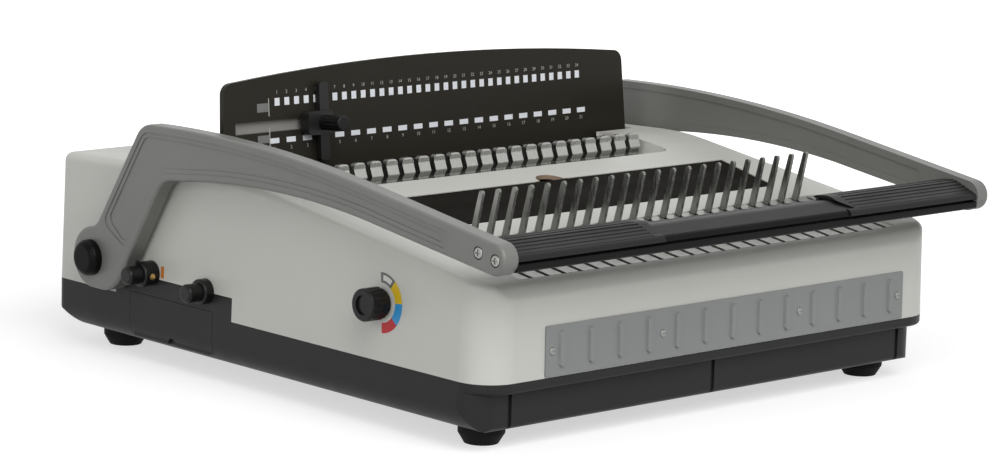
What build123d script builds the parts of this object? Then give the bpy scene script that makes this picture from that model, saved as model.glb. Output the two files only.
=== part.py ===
from build123d import *
from math import cos, radians, sin, tan
import os

# Manual comb binding machine: punch head at the back, comb opener at the front,
# one full-width handle that works both.  Millimetres, +X to the user's right,
# -Y to the user, +Z up, feet on Z = 0.

# ---------------------------------------------------------------- body shell
BODY_W = 418.6          # width at the seam between base and cover
BODY_D = 439.2          # depth at the seam
SEAM_Z = 44.7           # height of the seam
BASE_Z = 13.3           # underside of the base
WALL = 3.0              # moulded wall
DRAFT = 1.2             # draft of the cover walls, degrees
CORNER_R = 24.0         # upright corners at the front
REAR_CORNER_R = 8.6     # and at the back
CREST_Y = 20.0          # highest line of the cover
CREST_Z = 140.3
CREST_R = 250.0
DECK_SLOPE = 8.05       # the deck falls towards the user, degrees
REAR_SLOPE = 2.3        # and a little towards the back
NOSE_SLOPE = 62.0       # the deck rolls over into the front wall
NOSE_R = 10.0
RIM_R = 6.0             # rounding between top and walls
SIDE_X = BODY_W / 2
FRONT_Y = -BODY_D / 2
REAR_Y = BODY_D / 2
NOSE_Y = FRONT_Y + 7.1
SPAN = BODY_W + BODY_D  # longer than anything on the machine, for cutting shapes

# ---------------------------------------------------------------- clearances
GAP = 0.3               # between pieces that move past each other
FIT = 0.05              # radial, shafts in bearings
SEAT = 0.2              # between fixed pieces that drop into one another

# ---------------------------------------------------------------- punch head
PITCH = 14.2875         # comb hole pitch, 9/16 inch
HOLES = 21
HOLE_W = 8.0            # punched hole
HOLE_H = 3.0
PIN_PLAY = 0.1          # around the pins in both plates
PIN_Z = 96.0            # height of the pin axes
SLOT_Y = 20.0           # front face of the paper slot
SLOT_W = 4.6            # paper slot
GUIDE_T = 10.0          # front plate, guides the pins
DIE_T = 12.0            # rear plate, cuts the paper
DIE_LOW = 84.0
DIE_HIGH = 119.0
PIN_REACH = 2.4         # how far the pins stand in the die at the end of a stroke
BAR_T = 12.0            # punch bar
BAR_H = 16.0

# ---------------------------------------------------------------- frames, shaft
FRAME_X = SIDE_X - 19.3     # inner face of the side frames
FRAME_T = 3.0
SHAFT_R = 6.0
HUB_Y = REAR_Y - 59.2   # handle axis
HUB_Z = 68.8
BUSH_R = 9.0
SWING = 75.0            # handle travel, degrees
CRANK_X = FRAME_X - 14.0    # inner face of the crank plates
CRANK_T = 3.0
CRANK_PIN_R = 2.5
PUNCH_CRANK = 13.0      # short crank, passes under the shaft
LINK_T = 3.0

# ---------------------------------------------------------------- handle
ARM_GAP = 3.2           # arm to body at the seam
ARM_T = 11.5
BOSS_R = 21.0
ARM_RIM = 5.0           # plain border around the sunk panel of the arm
ARM_STEP = 3.0          # the panel sinks in two steps this far apart
PANEL_STEP = 0.7        # depth of each step
PANEL_FRONT_Y = FRONT_Y + 17.6
BEAM_FALL = 8.5         # slope of the beam towards its tip
REAR_LEAN = 57.2        # leg of the arm against the horizontal, rear and front edge
FRONT_LEAN = 58.5
ELBOW_Z = 167.1
CROTCH_Z = 131.6
BEAM_MID_Y = (FRONT_Y + HUB_Y) / 2
HEEL_Y = HUB_Y + 10.5   # rear edge of the leg at the height of the hub
TOE_Y = HUB_Y - 24.4    # front edge of the leg under the hub
CAP_R = 12.3
CAP_H = 8.0
BAR_REAR_Y = FRONT_Y + 4.6
BAR_FRONT_Y = BAR_REAR_Y - 34.0
BAR_LOW_Z = 120.8
BAR_TOP_Z = 136.0
BAR_LIP_H = 5.2         # lower lip in front of the groove
BAR_GROOVE_H = 1.8
BAR_GROOVE_DEPTH = 4.5
BAR_WALL = 2.4
BAR_RISE = 3.5          # the underside rises towards the back
BAR_CROWN = 15.0        # from the back to the highest line
GRIP_T = 2.6
GRIP_INNER_X = 86.0     # the grips stop short of the middle
FLUTES = 8              # flutes between the ribs of the grips
FLUTE_PITCH = 3.6
FLUTE_W = 1.5
FLUTE_DEPTH = 0.8
TIP_Y = BAR_REAR_Y - 24.5
TIP_Z = 129.0
TIP_R = 10.2

# ---------------------------------------------------------------- deck pieces
TABLE_FRONT_Y = NOSE_Y + 1.7
TABLE_REAR_Y = FRONT_Y + 83.8
TRIM_X = 7.5            # lid and trim plate sit a little to the right
LID_REAR_HALF = SIDE_X - 43.3
LID_FRONT_HALF = SIDE_X - 54.8
LID_FRONT_Y = TABLE_REAR_Y + 25.8       # the lid fills the deck between table and well
LID_REAR_Y = SLOT_Y - 67.0
LID_T = 2.4
LID_RIBS = 5
LID_RIB_PITCH = 55.0
LID_BARREL_R = 1.7
LID_PIN_R = 1.2
TUB_DEPTH = 27.0
TUB_WALL = 2.0
TABLE_HALF = SIDE_X - 35.3
TABLE_T = 1.5
TABLE_SINK = 0.5
SLIT_W = 3.8
BLADE_T = 2.2
BLADE_ROOT_Y = FRONT_Y + 79.4
BLADE_TIP_Y = FRONT_Y + 71.1
BLADE_TIP_Z = 151.5
BLADE_ROOT_W = 5.6
BLADE_TIP_W = 3.4
HOOK_T = 2.2
HOOK_Y = FRONT_Y + 33.6     # hooks with the handle down
HOOK_TRAVEL = 30.0      # along the deck
HOOK_PLATE_T = 1.5
HOOK_PLATE_DEPTH = 8.0  # below the deck

# ---------------------------------------------------------------- sheet scale
SCALE_Y = 63.0          # foot of the upright scale plate
SCALE_T = 4.0
SCALE_LEAN = 5.0
SCALE_HALF = SIDE_X - 21.3
SCALE_LOW_Z = 122.0
SCALE_TOP_Z = 204.2
SCALE_ARCH = 9.5        # rise of the arched top
SCALE_CORNER_R = 8.0
RAIL_Z = 164.5          # slot that carries the sheet guide
RAIL_H = 8.0
RAIL_LEFT = 12.0 - SCALE_HALF
RAIL_RIGHT = RAIL_LEFT + 82.0
GUIDE_X = RAIL_RIGHT - 12.0

# ---------------------------------------------------------------- left side controls
DIAL_Y = FRONT_Y + 97.4
DIAL_Z = 82.1
DIAL_R = 10.5
DIAL_L = 16.0
MARGIN_Y = HUB_Y - 48.4     # the knobs, their shoulder and the drawer keep clear of the arm
MARGIN_Z = 64.0
EDGE_Y = HUB_Y - 106.9
EDGE_Z = 61.0
KNOB_DISC_R = 8.5
KNOB_SHAFT_R = 3.0
DIAL_SHAFT_R = 4.0
SIDE_SHAFTS = (
    (DIAL_Y, DIAL_Z, DIAL_SHAFT_R),
    (MARGIN_Y, MARGIN_Z, KNOB_SHAFT_R),
    (EDGE_Y, EDGE_Z, KNOB_SHAFT_R),
)
MARGIN_SKIRT_L = 11.5   # skirt and grip of the two side knobs
MARGIN_GRIP_L = 11.0
EDGE_SKIRT_L = 7.0
EDGE_GRIP_L = 11.0
SHOULDER_FRONT_Y = HUB_Y - 133.9
SHOULDER_REAR_Y = HUB_Y - SHAFT_R - 3.0
SHOULDER_Z = 60.3
DRAWER_FRONT_Y = HUB_Y - 113.9
DRAWER_REAR_Y = HUB_Y - 24.9
DRAWER_TOP_Z = 47.8
DRAWER_LEN = 352.0
DRAWER_H = 24.0

# ---------------------------------------------------------------- trim and feet
TRIM_HALF = SIDE_X - 42.8
TRIM_LOW_Z = 45.4
TRIM_HIGH_Z = 77.6
TRIM_T = 1.2
RIBS = 13
RIB_PITCH = (2 * TRIM_HALF - 1.1) / RIBS
RIB_W = 4.8
RIB_H = 1.6
RIB_LOW_Z = 50.5
RIB_HIGH_Z = 73.9
FOOT_X = SIDE_X - 32.7
FOOT_Y = REAR_Y - 36.6
FOOT_R = 15.0
FOOT_TIP_R = 11.0

# frame origin: centre of the footprint
REACH_FRONT = TIP_Y - TIP_R
ORIGIN_Y = (REACH_FRONT + BODY_D / 2) / 2


# ================================================================ helpers
def block(x0, x1, y0, y1, z0, z1):
    """Box between two corners."""
    return Pos((x0 + x1) / 2, (y0 + y1) / 2, (z0 + z1) / 2) * Box(x1 - x0, y1 - y0, z1 - z0)


def rod_x(y, z, radius, x0, x1):
    """Cylinder along X."""
    return Pos((x0 + x1) / 2, y, z) * Rot(0, 90, 0) * Cylinder(radius, abs(x1 - x0))


def rod_y(x, z, radius, y0, y1):
    """Cylinder along Y."""
    return Pos(x, (y0 + y1) / 2, z) * Rot(90, 0, 0) * Cylinder(radius, abs(y1 - y0))


def rod_z(x, y, radius, z0, z1):
    """Cylinder along Z."""
    return Pos(x, y, (z0 + z1) / 2) * Cylinder(radius, abs(z1 - z0))


def side_sketch(points, radii=None):
    """Closed outline in the YZ plane; radii maps a point's index to its fillet."""
    face = make_face(Polyline(*points, close=True).edges())
    for index, radius in (radii or {}).items():
        y, z = points[index]
        corner = face.vertices().sort_by_distance((y, z, 0))[0]
        face = fillet(corner, radius)
    return face


def side_prism(face, x0, x1):
    """Outline in the YZ plane pulled out along X from x0 to x1."""
    return Pos(x0, 0, 0) * extrude(Plane.YZ * face, amount=x1 - x0)


def mirrored(shape):
    """A left piece and its right twin, or the other way round."""
    return [shape, mirror(shape, about=Plane.YZ)]


def group(shapes):
    """Several separate solids kept as one sub-part."""
    solids = [solid for shape in shapes for solid in shape.solids()]
    return Compound(children=solids)


def hole_x(index):
    """Centre of a comb hole, the row being centred on the machine."""
    return (index - (HOLES - 1) / 2) * PITCH


def deck_z(y):
    """Height of the sloping deck at y."""
    return CREST_Z + (y - CREST_Y) * tan(radians(DECK_SLOPE))


def deck_v(y):
    """Distance along the deck from the crest to the deck point above y."""
    return (y - CREST_Y) / cos(radians(DECK_SLOPE))


def on_deck(shape):
    """Moves a shape drawn in deck coordinates (x, along the deck, above it)."""
    return Pos(0, CREST_Y, CREST_Z) * Rot(DECK_SLOPE, 0, 0) * shape


def wall_x(z):
    """Outer face of the right cover wall at height z."""
    return BODY_W / 2 - (z - SEAM_Z) * tan(radians(DRAFT))


def footprint(inset, shift=0.0):
    """Plan of the housing, set in: wide corners at the front, tight ones at the back."""
    shrink = 2 * (inset + shift)
    plan = Rectangle(BODY_W - shrink, BODY_D - shrink)
    front = plan.vertices().sort_by(Axis.Y)[:2]
    plan = fillet(front, CORNER_R - inset)
    rear = plan.vertices().sort_by(Axis.Y)[-2:]
    return fillet(rear, REAR_CORNER_R - inset)


def wall_block(inset, z0, z1):
    """Housing plan drawn up with the draft of the cover walls."""
    plan = footprint(inset, (z0 - SEAM_Z) * tan(radians(DRAFT)))
    return extrude(Pos(0, 0, z0) * plan, amount=z1 - z0, taper=DRAFT)


# ================================================================ housing
def top_cutter(inset):
    """Everything under the cover's top skin: nose, deck, crest and rear slope."""
    reach = BODY_D
    skin = inset / cos(radians(DECK_SLOPE))
    bend = radians(NOSE_SLOPE - DECK_SLOPE)
    nose_y = NOSE_Y + inset * (sin(radians(DECK_SLOPE)) + cos(radians(DECK_SLOPE)) * tan(bend / 2))
    nose_z = deck_z(nose_y) - skin
    rear_z = CREST_Z - (reach - CREST_Y) * tan(radians(REAR_SLOPE)) - skin
    fall = (reach + nose_y) * tan(radians(NOSE_SLOPE))
    points = [
        (-reach, nose_z - fall),
        (nose_y, nose_z),
        (CREST_Y, CREST_Z - skin),
        (reach, rear_z),
        (reach, -reach),
        (-reach, -reach),
    ]
    face = side_sketch(points, {2: CREST_R, 1: NOSE_R - inset})
    return side_prism(face, -BODY_W, BODY_W)


def cover_form(inset):
    """Solid form of the cover, set in by a wall thickness."""
    body = wall_block(inset, SEAM_Z, CREST_Z + RIM_R) & top_cutter(inset)
    tops = [face for face in body.faces() if face.normal_at().Z > 0.2]
    edges = [edge for face in tops for edge in face.edges()]

    def is_outer(edge):
        """An edge that only one of the top faces has."""
        twins = [other for other in edges if (other.center() - edge.center()).length < 0.001]
        return len(twins) == 1

    return fillet([edge for edge in edges if is_outer(edge)], RIM_R - inset)


def lid_outline(grow):
    """Lid opening in deck coordinates: wider at the back than at the front."""
    front = deck_v(LID_FRONT_Y) - grow
    rear = deck_v(LID_REAR_Y) + grow
    points = [
        (TRIM_X - LID_FRONT_HALF - grow, front),
        (TRIM_X + LID_FRONT_HALF + grow, front),
        (TRIM_X + LID_REAR_HALF + grow, rear),
        (TRIM_X - LID_REAR_HALF - grow, rear),
    ]
    return make_face(Polyline(*points, close=True).edges())


WELL_HALF = hole_x(HOLES - 1) + 9.5
WELL_FRONT_Y = SLOT_Y - 38.0
WELL_REAR_Y = SCALE_Y - 2.0
WELL_R = 9.0
WELL_WALL = 2.4
WELL_WALL_Z = DIE_HIGH + 1.5
RAMP_FRONT_Y = SLOT_Y - 17.0      # foot of the ramp that leads down to the tabs
RAMP_Z = DIE_HIGH + 9.2
RAIL_FRONT_Y = SLOT_Y - 15.0
SCALE_SLOT_HALF = SCALE_HALF + 1.0
SCALE_SLOT_REAR_Y = SCALE_Y + SCALE_T + 5.0
NOTCH_R = 11.0                    # finger notch behind the lid
FRONT_POST = (SIDE_X - 22.8, FRONT_Y + 14.6)
REAR_POST = (SIDE_X - 59.3, REAR_Y - 29.6)
COVER_SCREWS = [(side * x, y) for x, y in (FRONT_POST, REAR_POST) for side in (-1, 1)]
POST_R = 4.4
SCREW_HOLE_R = 1.6


def well_cutter():
    """Well of the selector tabs: open down to the die behind a soft ramp."""
    depth = WELL_REAR_Y - WELL_FRONT_Y
    plan = Pos(0, (WELL_FRONT_Y + WELL_REAR_Y) / 2) * RectangleRounded(2 * WELL_HALF, depth, WELL_R)
    pit = extrude(Pos(0, 0, CREST_Z - 40) * plan, amount=80)
    low_z = deck_z(WELL_FRONT_Y)
    ramp = [
        (WELL_FRONT_Y - 1, low_z - 40),
        (WELL_FRONT_Y - 1, low_z),
        (WELL_FRONT_Y, low_z),
        (RAMP_FRONT_Y, RAMP_Z),
        (RAIL_FRONT_Y - SEAT, RAMP_Z),
        (RAIL_FRONT_Y - SEAT, low_z - 40),
    ]
    return pit - side_prism(side_sketch(ramp, {2: 4, 3: 8}), -SPAN, SPAN)


def well_lining():
    """Wall of the well and the floor of its ramp, one moulding with the cover."""
    depth = WELL_REAR_Y - WELL_FRONT_Y + 2 * WELL_WALL
    mid = (WELL_FRONT_Y + WELL_REAR_Y) / 2
    plan = Pos(0, mid, WELL_WALL_Z) * RectangleRounded(
        2 * (WELL_HALF + WELL_WALL), depth, WELL_R + WELL_WALL)
    lining = extrude(plan, amount=40) & cover_form(WALL / 2)
    lining -= block(-SPAN, SPAN, WELL_REAR_Y - 6, SPAN, 0, SPAN)
    # hollow under the ramp
    low_z = deck_z(WELL_FRONT_Y) - WALL
    under = [
        (WELL_FRONT_Y, 0),
        (WELL_FRONT_Y, low_z),
        (RAMP_FRONT_Y, RAMP_Z - WALL),
        (RAIL_FRONT_Y - SEAT - WALL, RAMP_Z - WALL),
        (RAIL_FRONT_Y - SEAT - WALL, 0),
    ]
    return lining - side_prism(side_sketch(under), -WELL_HALF, WELL_HALF)


def make_top_cover():
    """One-piece cover shell with its openings."""
    shell = cover_form(0) - cover_form(WALL) + well_lining() - well_cutter()
    shell -= block(-SCALE_SLOT_HALF, SCALE_SLOT_HALF, WELL_REAR_Y - 4, SCALE_SLOT_REAR_Y,
                   CREST_Z - 30, CREST_Z + 30)
    shell -= on_deck(extrude(Pos(0, 0, -20) * lid_outline(0), amount=40))
    shell -= on_deck(Pos(TRIM_X, deck_v(LID_REAR_Y), 0) * Cylinder(NOTCH_R, 40))
    table_mid = (deck_v(TABLE_FRONT_Y) + deck_v(TABLE_REAR_Y)) / 2
    table_len = deck_v(TABLE_REAR_Y) - deck_v(TABLE_FRONT_Y)
    shell -= on_deck(Pos(0, table_mid, 0) * Box(2 * TABLE_HALF, table_len, 40))
    # clearance for the shaft, the dial and the two side knobs
    for side in (-1, 1):
        shell -= rod_x(HUB_Y, HUB_Z, SHAFT_R + 2, side * (SIDE_X - 12), side * (SIDE_X + 5))
    for y, z, radius in SIDE_SHAFTS:
        shell -= rod_x(y, z, radius + 2 * GAP, -SIDE_X - 5, -SIDE_X + 12)
    # the base stands up into the left wall behind the drawer
    shell -= block(-SIDE_X - 5, -SIDE_X + 14, SHOULDER_FRONT_Y - SEAT,
                   SHOULDER_REAR_Y + SEAT, SEAM_Z - 1, SHOULDER_Z + SEAT)
    inside = cover_form(WALL / 2)
    for x, y in COVER_SCREWS:
        shell += rod_z(x, y, POST_R, SEAM_Z, CREST_Z) & inside
        shell -= rod_z(x, y, SCREW_HOLE_R, SEAM_Z - 1, SEAM_Z + 14)
    return shell


FOOT_BOSS_R = 6.5
SCREW_SEAT_Z = 30.0     # seat of the cover screws inside their wells
GROOVE_X = SIDE_X - 29.3    # outer grooves in the front of the plinth
LIP_H = 7.0             # rim of the base that is flush with the cover
PLINTH_IN = 8.0         # the plinth below it steps in at the front and right
PLINTH_R = 17.0
TONGUE_T = 2.0
KEEL_R = 14.0           # rounding along the bottom left edge
REAR_CUT = 22.0         # slanted rear bottom edge
REAR_CUT_H = 14.0


def plinth_form(inset, floor_z):
    """Lower part of the base: rounded bottom edges and slanted rear edge."""
    x0 = -SIDE_X + inset
    x1 = SIDE_X - PLINTH_IN - inset
    y0 = FRONT_Y + PLINTH_IN + inset
    y1 = REAR_Y - inset
    plan = make_face(Polyline((x0, y0), (x1, y0), (x1, y1), (x0, y1), close=True).edges())
    for x, y, radius in ((x0, y1, REAR_CORNER_R), (x0, y0, PLINTH_R), (x1, y0, PLINTH_R),
                         (x1, y1, REAR_CORNER_R)):
        plan = fillet(plan.vertices().sort_by_distance((x, y, 0))[0], radius - inset)
    body = extrude(Pos(0, 0, floor_z) * plan, amount=SEAM_Z - floor_z)
    front = make_face(Polyline((x0, floor_z), (x1, floor_z), (x1, SEAM_Z + 5), (x0, SEAM_Z + 5),
                               close=True).edges())
    front = fillet(front.vertices().sort_by_distance((x0, floor_z, 0))[0], KEEL_R - inset)
    front = fillet(front.vertices().sort_by_distance((x1, floor_z, 0))[0], 4)
    body &= Pos(0, REAR_Y + 5, 0) * extrude(Plane.XZ * front, amount=BODY_D + 10)
    side = side_sketch(
        [
            (y0, floor_z),
            (y1 - REAR_CUT, floor_z),
            (y1, floor_z + REAR_CUT_H),
            (y1, SEAM_Z + 5),
            (y0, SEAM_Z + 5),
        ],
        {0: 4, 1: 6, 2: 3},
    )
    return body & side_prism(side, x0 - 5, x1 + 5)


def make_base_tray():
    """Base: plinth, flush rim, shoulder for the side knobs, bosses and drawer runners."""
    floor_z = BASE_Z + WALL
    rim_z = SEAM_Z - LIP_H
    rim = extrude(Pos(0, 0, rim_z) * footprint(0), amount=LIP_H)
    rim = fillet(rim.faces().sort_by(Axis.Z)[0].edges(), 2.4)
    base = plinth_form(0, BASE_Z) + rim
    base -= plinth_form(WALL, floor_z)
    base -= extrude(Pos(0, 0, rim_z + WALL) * footprint(WALL + TONGUE_T), amount=LIP_H)
    # tongue that locates the cover
    tongue = footprint(WALL + GAP) - footprint(WALL + TONGUE_T)
    base += extrude(Pos(0, 0, SEAM_Z) * tongue, amount=3)
    # shoulder on the left
    left = -SIDE_X
    shoulder = wall_block(0, SEAM_Z, SHOULDER_Z) & block(
        left - 1, left + 13, SHOULDER_FRONT_Y, SHOULDER_REAR_Y, SEAM_Z, SHOULDER_Z)
    shoulder -= wall_block(WALL, SEAM_Z, SHOULDER_Z - WALL)
    base += shoulder
    base -= rod_x(EDGE_Y, EDGE_Z, KNOB_SHAFT_R + 2 * GAP, left - 5, left + 15)
    # mouth of the chip drawer
    base -= block(left - 5, left + KEEL_R, DRAWER_FRONT_Y - GAP, DRAWER_REAR_Y + GAP,
                  BASE_Z - 1, DRAWER_TOP_Z + GAP)
    # grooves in the front of the plinth
    groove_y = FRONT_Y + PLINTH_IN
    for x in (-GROOVE_X, 0, GROOVE_X):
        base -= block(x - 1.6, x + 1.6, groove_y - 1, groove_y + 1.8, BASE_Z - 1, rim_z)
    # runners under and beside the drawer
    run_x0 = left + KEEL_R + 2
    run_x1 = left + DRAWER_LEN + 12
    for y in (DRAWER_FRONT_Y + 3, DRAWER_REAR_Y - 7):
        base += block(run_x0, run_x1, y, y + 4, floor_z - 0.5, floor_z + 1.2)
    for y in (DRAWER_FRONT_Y - 4.5, DRAWER_REAR_Y + 1.5):
        base += block(run_x0, run_x1, y, y + 3, floor_z - 0.5, floor_z + 16)
    for x in (-FOOT_X, FOOT_X):
        for y in (-FOOT_Y, FOOT_Y):
            base += rod_z(x, y, FOOT_BOSS_R, floor_z - 1, floor_z + 9)
            base -= rod_z(x, y, SCREW_HOLE_R, BASE_Z - 1, floor_z + 10)
    inside = plinth_form(WALL / 2, BASE_Z + WALL / 2)
    for x, y in COVER_SCREWS:
        base += rod_z(x, y, 6, floor_z - 1, SEAM_Z) & inside
        base -= rod_z(x, y, 1.9, BASE_Z - 1, SEAM_Z + 1)
        base -= rod_z(x, y, 4.2, BASE_Z - 1, SCREW_SEAT_Z)
    return base


def make_rubber_feet():
    """Four tapered feet with a well for the screw head."""
    feet = []
    for x in (-FOOT_X, FOOT_X):
        for y in (-FOOT_Y, FOOT_Y):
            foot = Pos(x, y, BASE_Z / 4) * Cone(FOOT_TIP_R, FOOT_R, BASE_Z / 2)
            foot += rod_z(x, y, FOOT_R, BASE_Z / 2, BASE_Z)
            foot -= rod_z(x, y, 4.6, -1, 5)
            foot -= rod_z(x, y, 2.2, 0, BASE_Z + 1)
            feet.append(foot)
    return group(feet)


def slotted_screw(x, y, seat_z, head_r, head_h, shank_r, top_z):
    """Upright screw driven from below, its head under seat_z."""
    screw = rod_z(x, y, head_r, seat_z - head_h, seat_z) + rod_z(x, y, shank_r, seat_z, top_z)
    return screw - Pos(x, y, seat_z - head_h) * Box(1.6 * head_r, 1, 1.6)


def front_face(x, z):
    """Location on the drafted front wall, its Z axis pointing out."""
    y = FRONT_Y + (z - SEAM_Z) * tan(radians(DRAFT))
    return Pos(x, y, z) * Rot(90 - DRAFT, 0, 0)


def trim_screw_x():
    """Four screws: one near each end and two between the ribs."""
    end = TRIM_HALF - 5.5
    inner = 2.5 * RIB_PITCH
    return (TRIM_X - end, TRIM_X - inner, TRIM_X + inner, TRIM_X + end)


def make_front_trim_plate():
    """Flat plate on the front wall with a row of embossed upright ribs."""
    z = (TRIM_LOW_Z + TRIM_HIGH_Z) / 2
    plate = Box(2 * TRIM_HALF, TRIM_HIGH_Z - TRIM_LOW_Z, TRIM_T)
    plate = fillet(plate.edges().filter_by(Axis.Z), 1.2)
    plate = Pos(0, 0, TRIM_T / 2) * plate
    rib_z = (RIB_LOW_Z + RIB_HIGH_Z) / 2 - z
    rib_l = RIB_HIGH_Z - RIB_LOW_Z
    rib = extrude(SlotOverall(rib_l, RIB_W, rotation=90), amount=RIB_H, taper=22)
    for index in range(RIBS):
        x = (index - (RIBS - 1) / 2) * RIB_PITCH
        plate += Pos(x, rib_z, TRIM_T) * rib
    for x in trim_screw_x():
        plate -= Pos(x - TRIM_X, 0, 0) * Cylinder(1.7, 10)
    return front_face(TRIM_X, z) * plate


def make_case_screws():
    """Screws of the feet, of the cover and of the trim plate."""
    screws = []
    for x in (-FOOT_X, FOOT_X):
        for y in (-FOOT_Y, FOOT_Y):
            screws.append(slotted_screw(x, y, 5, 4.0, 3, 1.55, BASE_Z + WALL + 8))
    for x, y in COVER_SCREWS:
        screws.append(slotted_screw(x, y, SCREW_SEAT_Z, 3.8, 2.6, 1.55, SEAM_Z + 12))
    z = (TRIM_LOW_Z + TRIM_HIGH_Z) / 2
    for x in trim_screw_x():
        head = Pos(0, 0, TRIM_T + 0.4) * Cylinder(2.5, 0.8)
        head = fillet(head.edges().sort_by(Axis.Z)[-1], 0.5)
        head -= Pos(0, 0, TRIM_T + 0.7) * Box(3.4, 0.7, 0.6)
        shank = Pos(0, 0, TRIM_T / 2) * Cylinder(1.5, TRIM_T)
        screws.append(front_face(x, z) * (head + shank))
    return group(screws)


# ================================================================ storage box
LID_AXIS_V = deck_v(LID_FRONT_Y) + GAP + LID_BARREL_R


def make_storage_tub():
    """Box under the deck for combs, with the hinge bearings of the lid."""
    outer = lid_outline(-SEAT)
    inner = offset(outer, -TUB_WALL, kind=Kind.INTERSECTION)
    tub = extrude(Pos(0, 0, -TUB_DEPTH - TUB_WALL) * outer, amount=TUB_DEPTH + TUB_WALL - 0.6)
    tub -= extrude(Pos(0, 0, -TUB_DEPTH) * inner, amount=TUB_DEPTH + 1)
    # the lid lies inside the walls, level with the deck
    tub -= extrude(Pos(0, 0, -LID_T - GAP) * lid_outline(-SEAT - TUB_WALL / 2), amount=LID_T + 5)
    notch = Pos(TRIM_X, deck_v(LID_REAR_Y), 0) * Cylinder(NOTCH_R, 60)
    tub -= notch & (Pos(TRIM_X, deck_v(LID_REAR_Y), -2) * Box(30, 30, 9))
    # flange under the cover
    rim = extrude(Pos(0, 0, -WALL - 2) * lid_outline(5), amount=2)
    rim -= extrude(Pos(0, 0, -WALL - 3) * lid_outline(-SEAT - TUB_WALL / 2), amount=4)
    tub += rim
    bore = Pos(TRIM_X, LID_AXIS_V, -LID_BARREL_R) * Rot(0, 90, 0)
    tub -= bore * Cylinder(LID_PIN_R + FIT, 2 * LID_FRONT_HALF + 2)
    tub -= bore * Cylinder(LID_BARREL_R + GAP, 2 * (LID_FRONT_HALF - SEAT - TUB_WALL))
    tub -= Pos(TRIM_X, LID_AXIS_V - 1.5, -1) * Box(2 * (LID_FRONT_HALF - SEAT - TUB_WALL), 3.5, 3)
    return on_deck(tub)


def make_storage_lid():
    """Flush lid that swings up about its front edge on two moulded pins."""
    edge = SEAT + TUB_WALL / 2 + GAP
    rear = deck_v(LID_REAR_Y) - edge
    span = (rear - deck_v(LID_FRONT_Y)) / (deck_v(LID_REAR_Y) - deck_v(LID_FRONT_Y))
    rear_half = LID_FRONT_HALF + span * (LID_REAR_HALF - LID_FRONT_HALF) - edge
    front_half = LID_FRONT_HALF - SEAT - TUB_WALL - GAP
    points = [
        (TRIM_X - front_half, LID_AXIS_V),
        (TRIM_X + front_half, LID_AXIS_V),
        (TRIM_X + rear_half, rear),
        (TRIM_X - rear_half, rear),
    ]
    face = make_face(Polyline(*points, close=True).edges())
    lid = extrude(Pos(0, 0, -LID_T) * face, amount=LID_T)
    axis = Pos(TRIM_X, LID_AXIS_V, -LID_BARREL_R) * Rot(0, 90, 0)
    lid += axis * Cylinder(LID_BARREL_R, 2 * front_half)
    lid += axis * Cylinder(LID_PIN_R, 2 * (LID_FRONT_HALF - SEAT - 0.3))
    # stiffening ribs under the lid
    for index in range(LID_RIBS):
        x = TRIM_X + (index - (LID_RIBS - 1) / 2) * LID_RIB_PITCH
        lid += Pos(x, (LID_AXIS_V + rear) / 2, -LID_T - 0.8) * Box(1.6, rear - LID_AXIS_V - 12, 2)
    return on_deck(lid)


# ================================================================ comb opener
def blade_x(index):
    """One blade at each side of every comb ring: one more blade than rings."""
    return (index - HOLES / 2) * PITCH


BLADES = HOLES + 1


def make_comb_table():
    """Slotted steel table, open at the front, bent down behind the blades."""
    front = deck_v(TABLE_FRONT_Y) + SEAT
    rear = deck_v(TABLE_REAR_Y) - SEAT
    mid = (front + rear) / 2
    half = TABLE_HALF - SEAT
    table = Pos(0, mid, -TABLE_SINK - TABLE_T / 2) * Box(2 * half, rear - front, TABLE_T)
    # bent edges: lip at the front, webs at the sides and at the back
    table += Pos(0, front + TABLE_T / 2, -TABLE_SINK - 2.5) * Box(2 * half, TABLE_T, 5)
    table += Pos(0, rear - TABLE_T / 2, -TABLE_SINK - 2) * Box(2 * half, TABLE_T, 4)
    # a slit for every blade, and more to both ends as far as the table reaches
    slits = 2 * int((half - SLIT_W) / PITCH + 0.5)
    for index in range(slits):
        x = (index - (slits - 1) / 2) * PITCH
        table -= Pos(x, mid, -2) * Box(SLIT_W, rear - front + 4, 12)
    # flanges that lie under the cover
    flange = 5.0
    flange_len = rear - deck_v(NOSE_Y + 14)
    for side in (-1, 1):
        table += Pos(side * (half - TABLE_T / 2), rear - flange_len / 2, -2) * Box(
            TABLE_T, flange_len, 2 * TABLE_T)
        table += Pos(side * (half + flange / 2 - TABLE_T / 2), rear - flange_len / 2,
                     -WALL - TABLE_T / 2) * Box(flange + TABLE_T, flange_len, TABLE_T)
    table += Pos(0, rear + 4, -WALL - TABLE_T / 2) * Box(2 * (half + flange), 8, TABLE_T)
    return on_deck(table)


def make_comb_blades():
    """Fixed upright blades with rounded tips, leaning forward, standing on one root bar."""
    root_z = deck_z(BLADE_ROOT_Y) - 16
    y0, y1 = BLADE_ROOT_Y, BLADE_TIP_Y
    lean = (y1 - y0) / (BLADE_TIP_Z - deck_z(BLADE_ROOT_Y))
    foot_y = y0 - lean * (deck_z(BLADE_ROOT_Y) - root_z)
    points = [
        (foot_y - BLADE_ROOT_W / 2, root_z),
        (foot_y + BLADE_ROOT_W / 2, root_z),
        (y1 + BLADE_TIP_W / 2, BLADE_TIP_Z),
        (y1 - BLADE_TIP_W / 2, BLADE_TIP_Z),
    ]
    face = side_sketch(points, {2: BLADE_TIP_W / 2 - 0.05, 3: BLADE_TIP_W / 2 - 0.05})
    blade = side_prism(face, -BLADE_T / 2, BLADE_T / 2)
    root_bar = block(-FRAME_X, FRAME_X, foot_y - 5, foot_y + 5, root_z - 6, root_z)
    return group([root_bar] + [Pos(blade_x(index), 0, 0) * blade for index in range(BLADES)])


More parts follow.
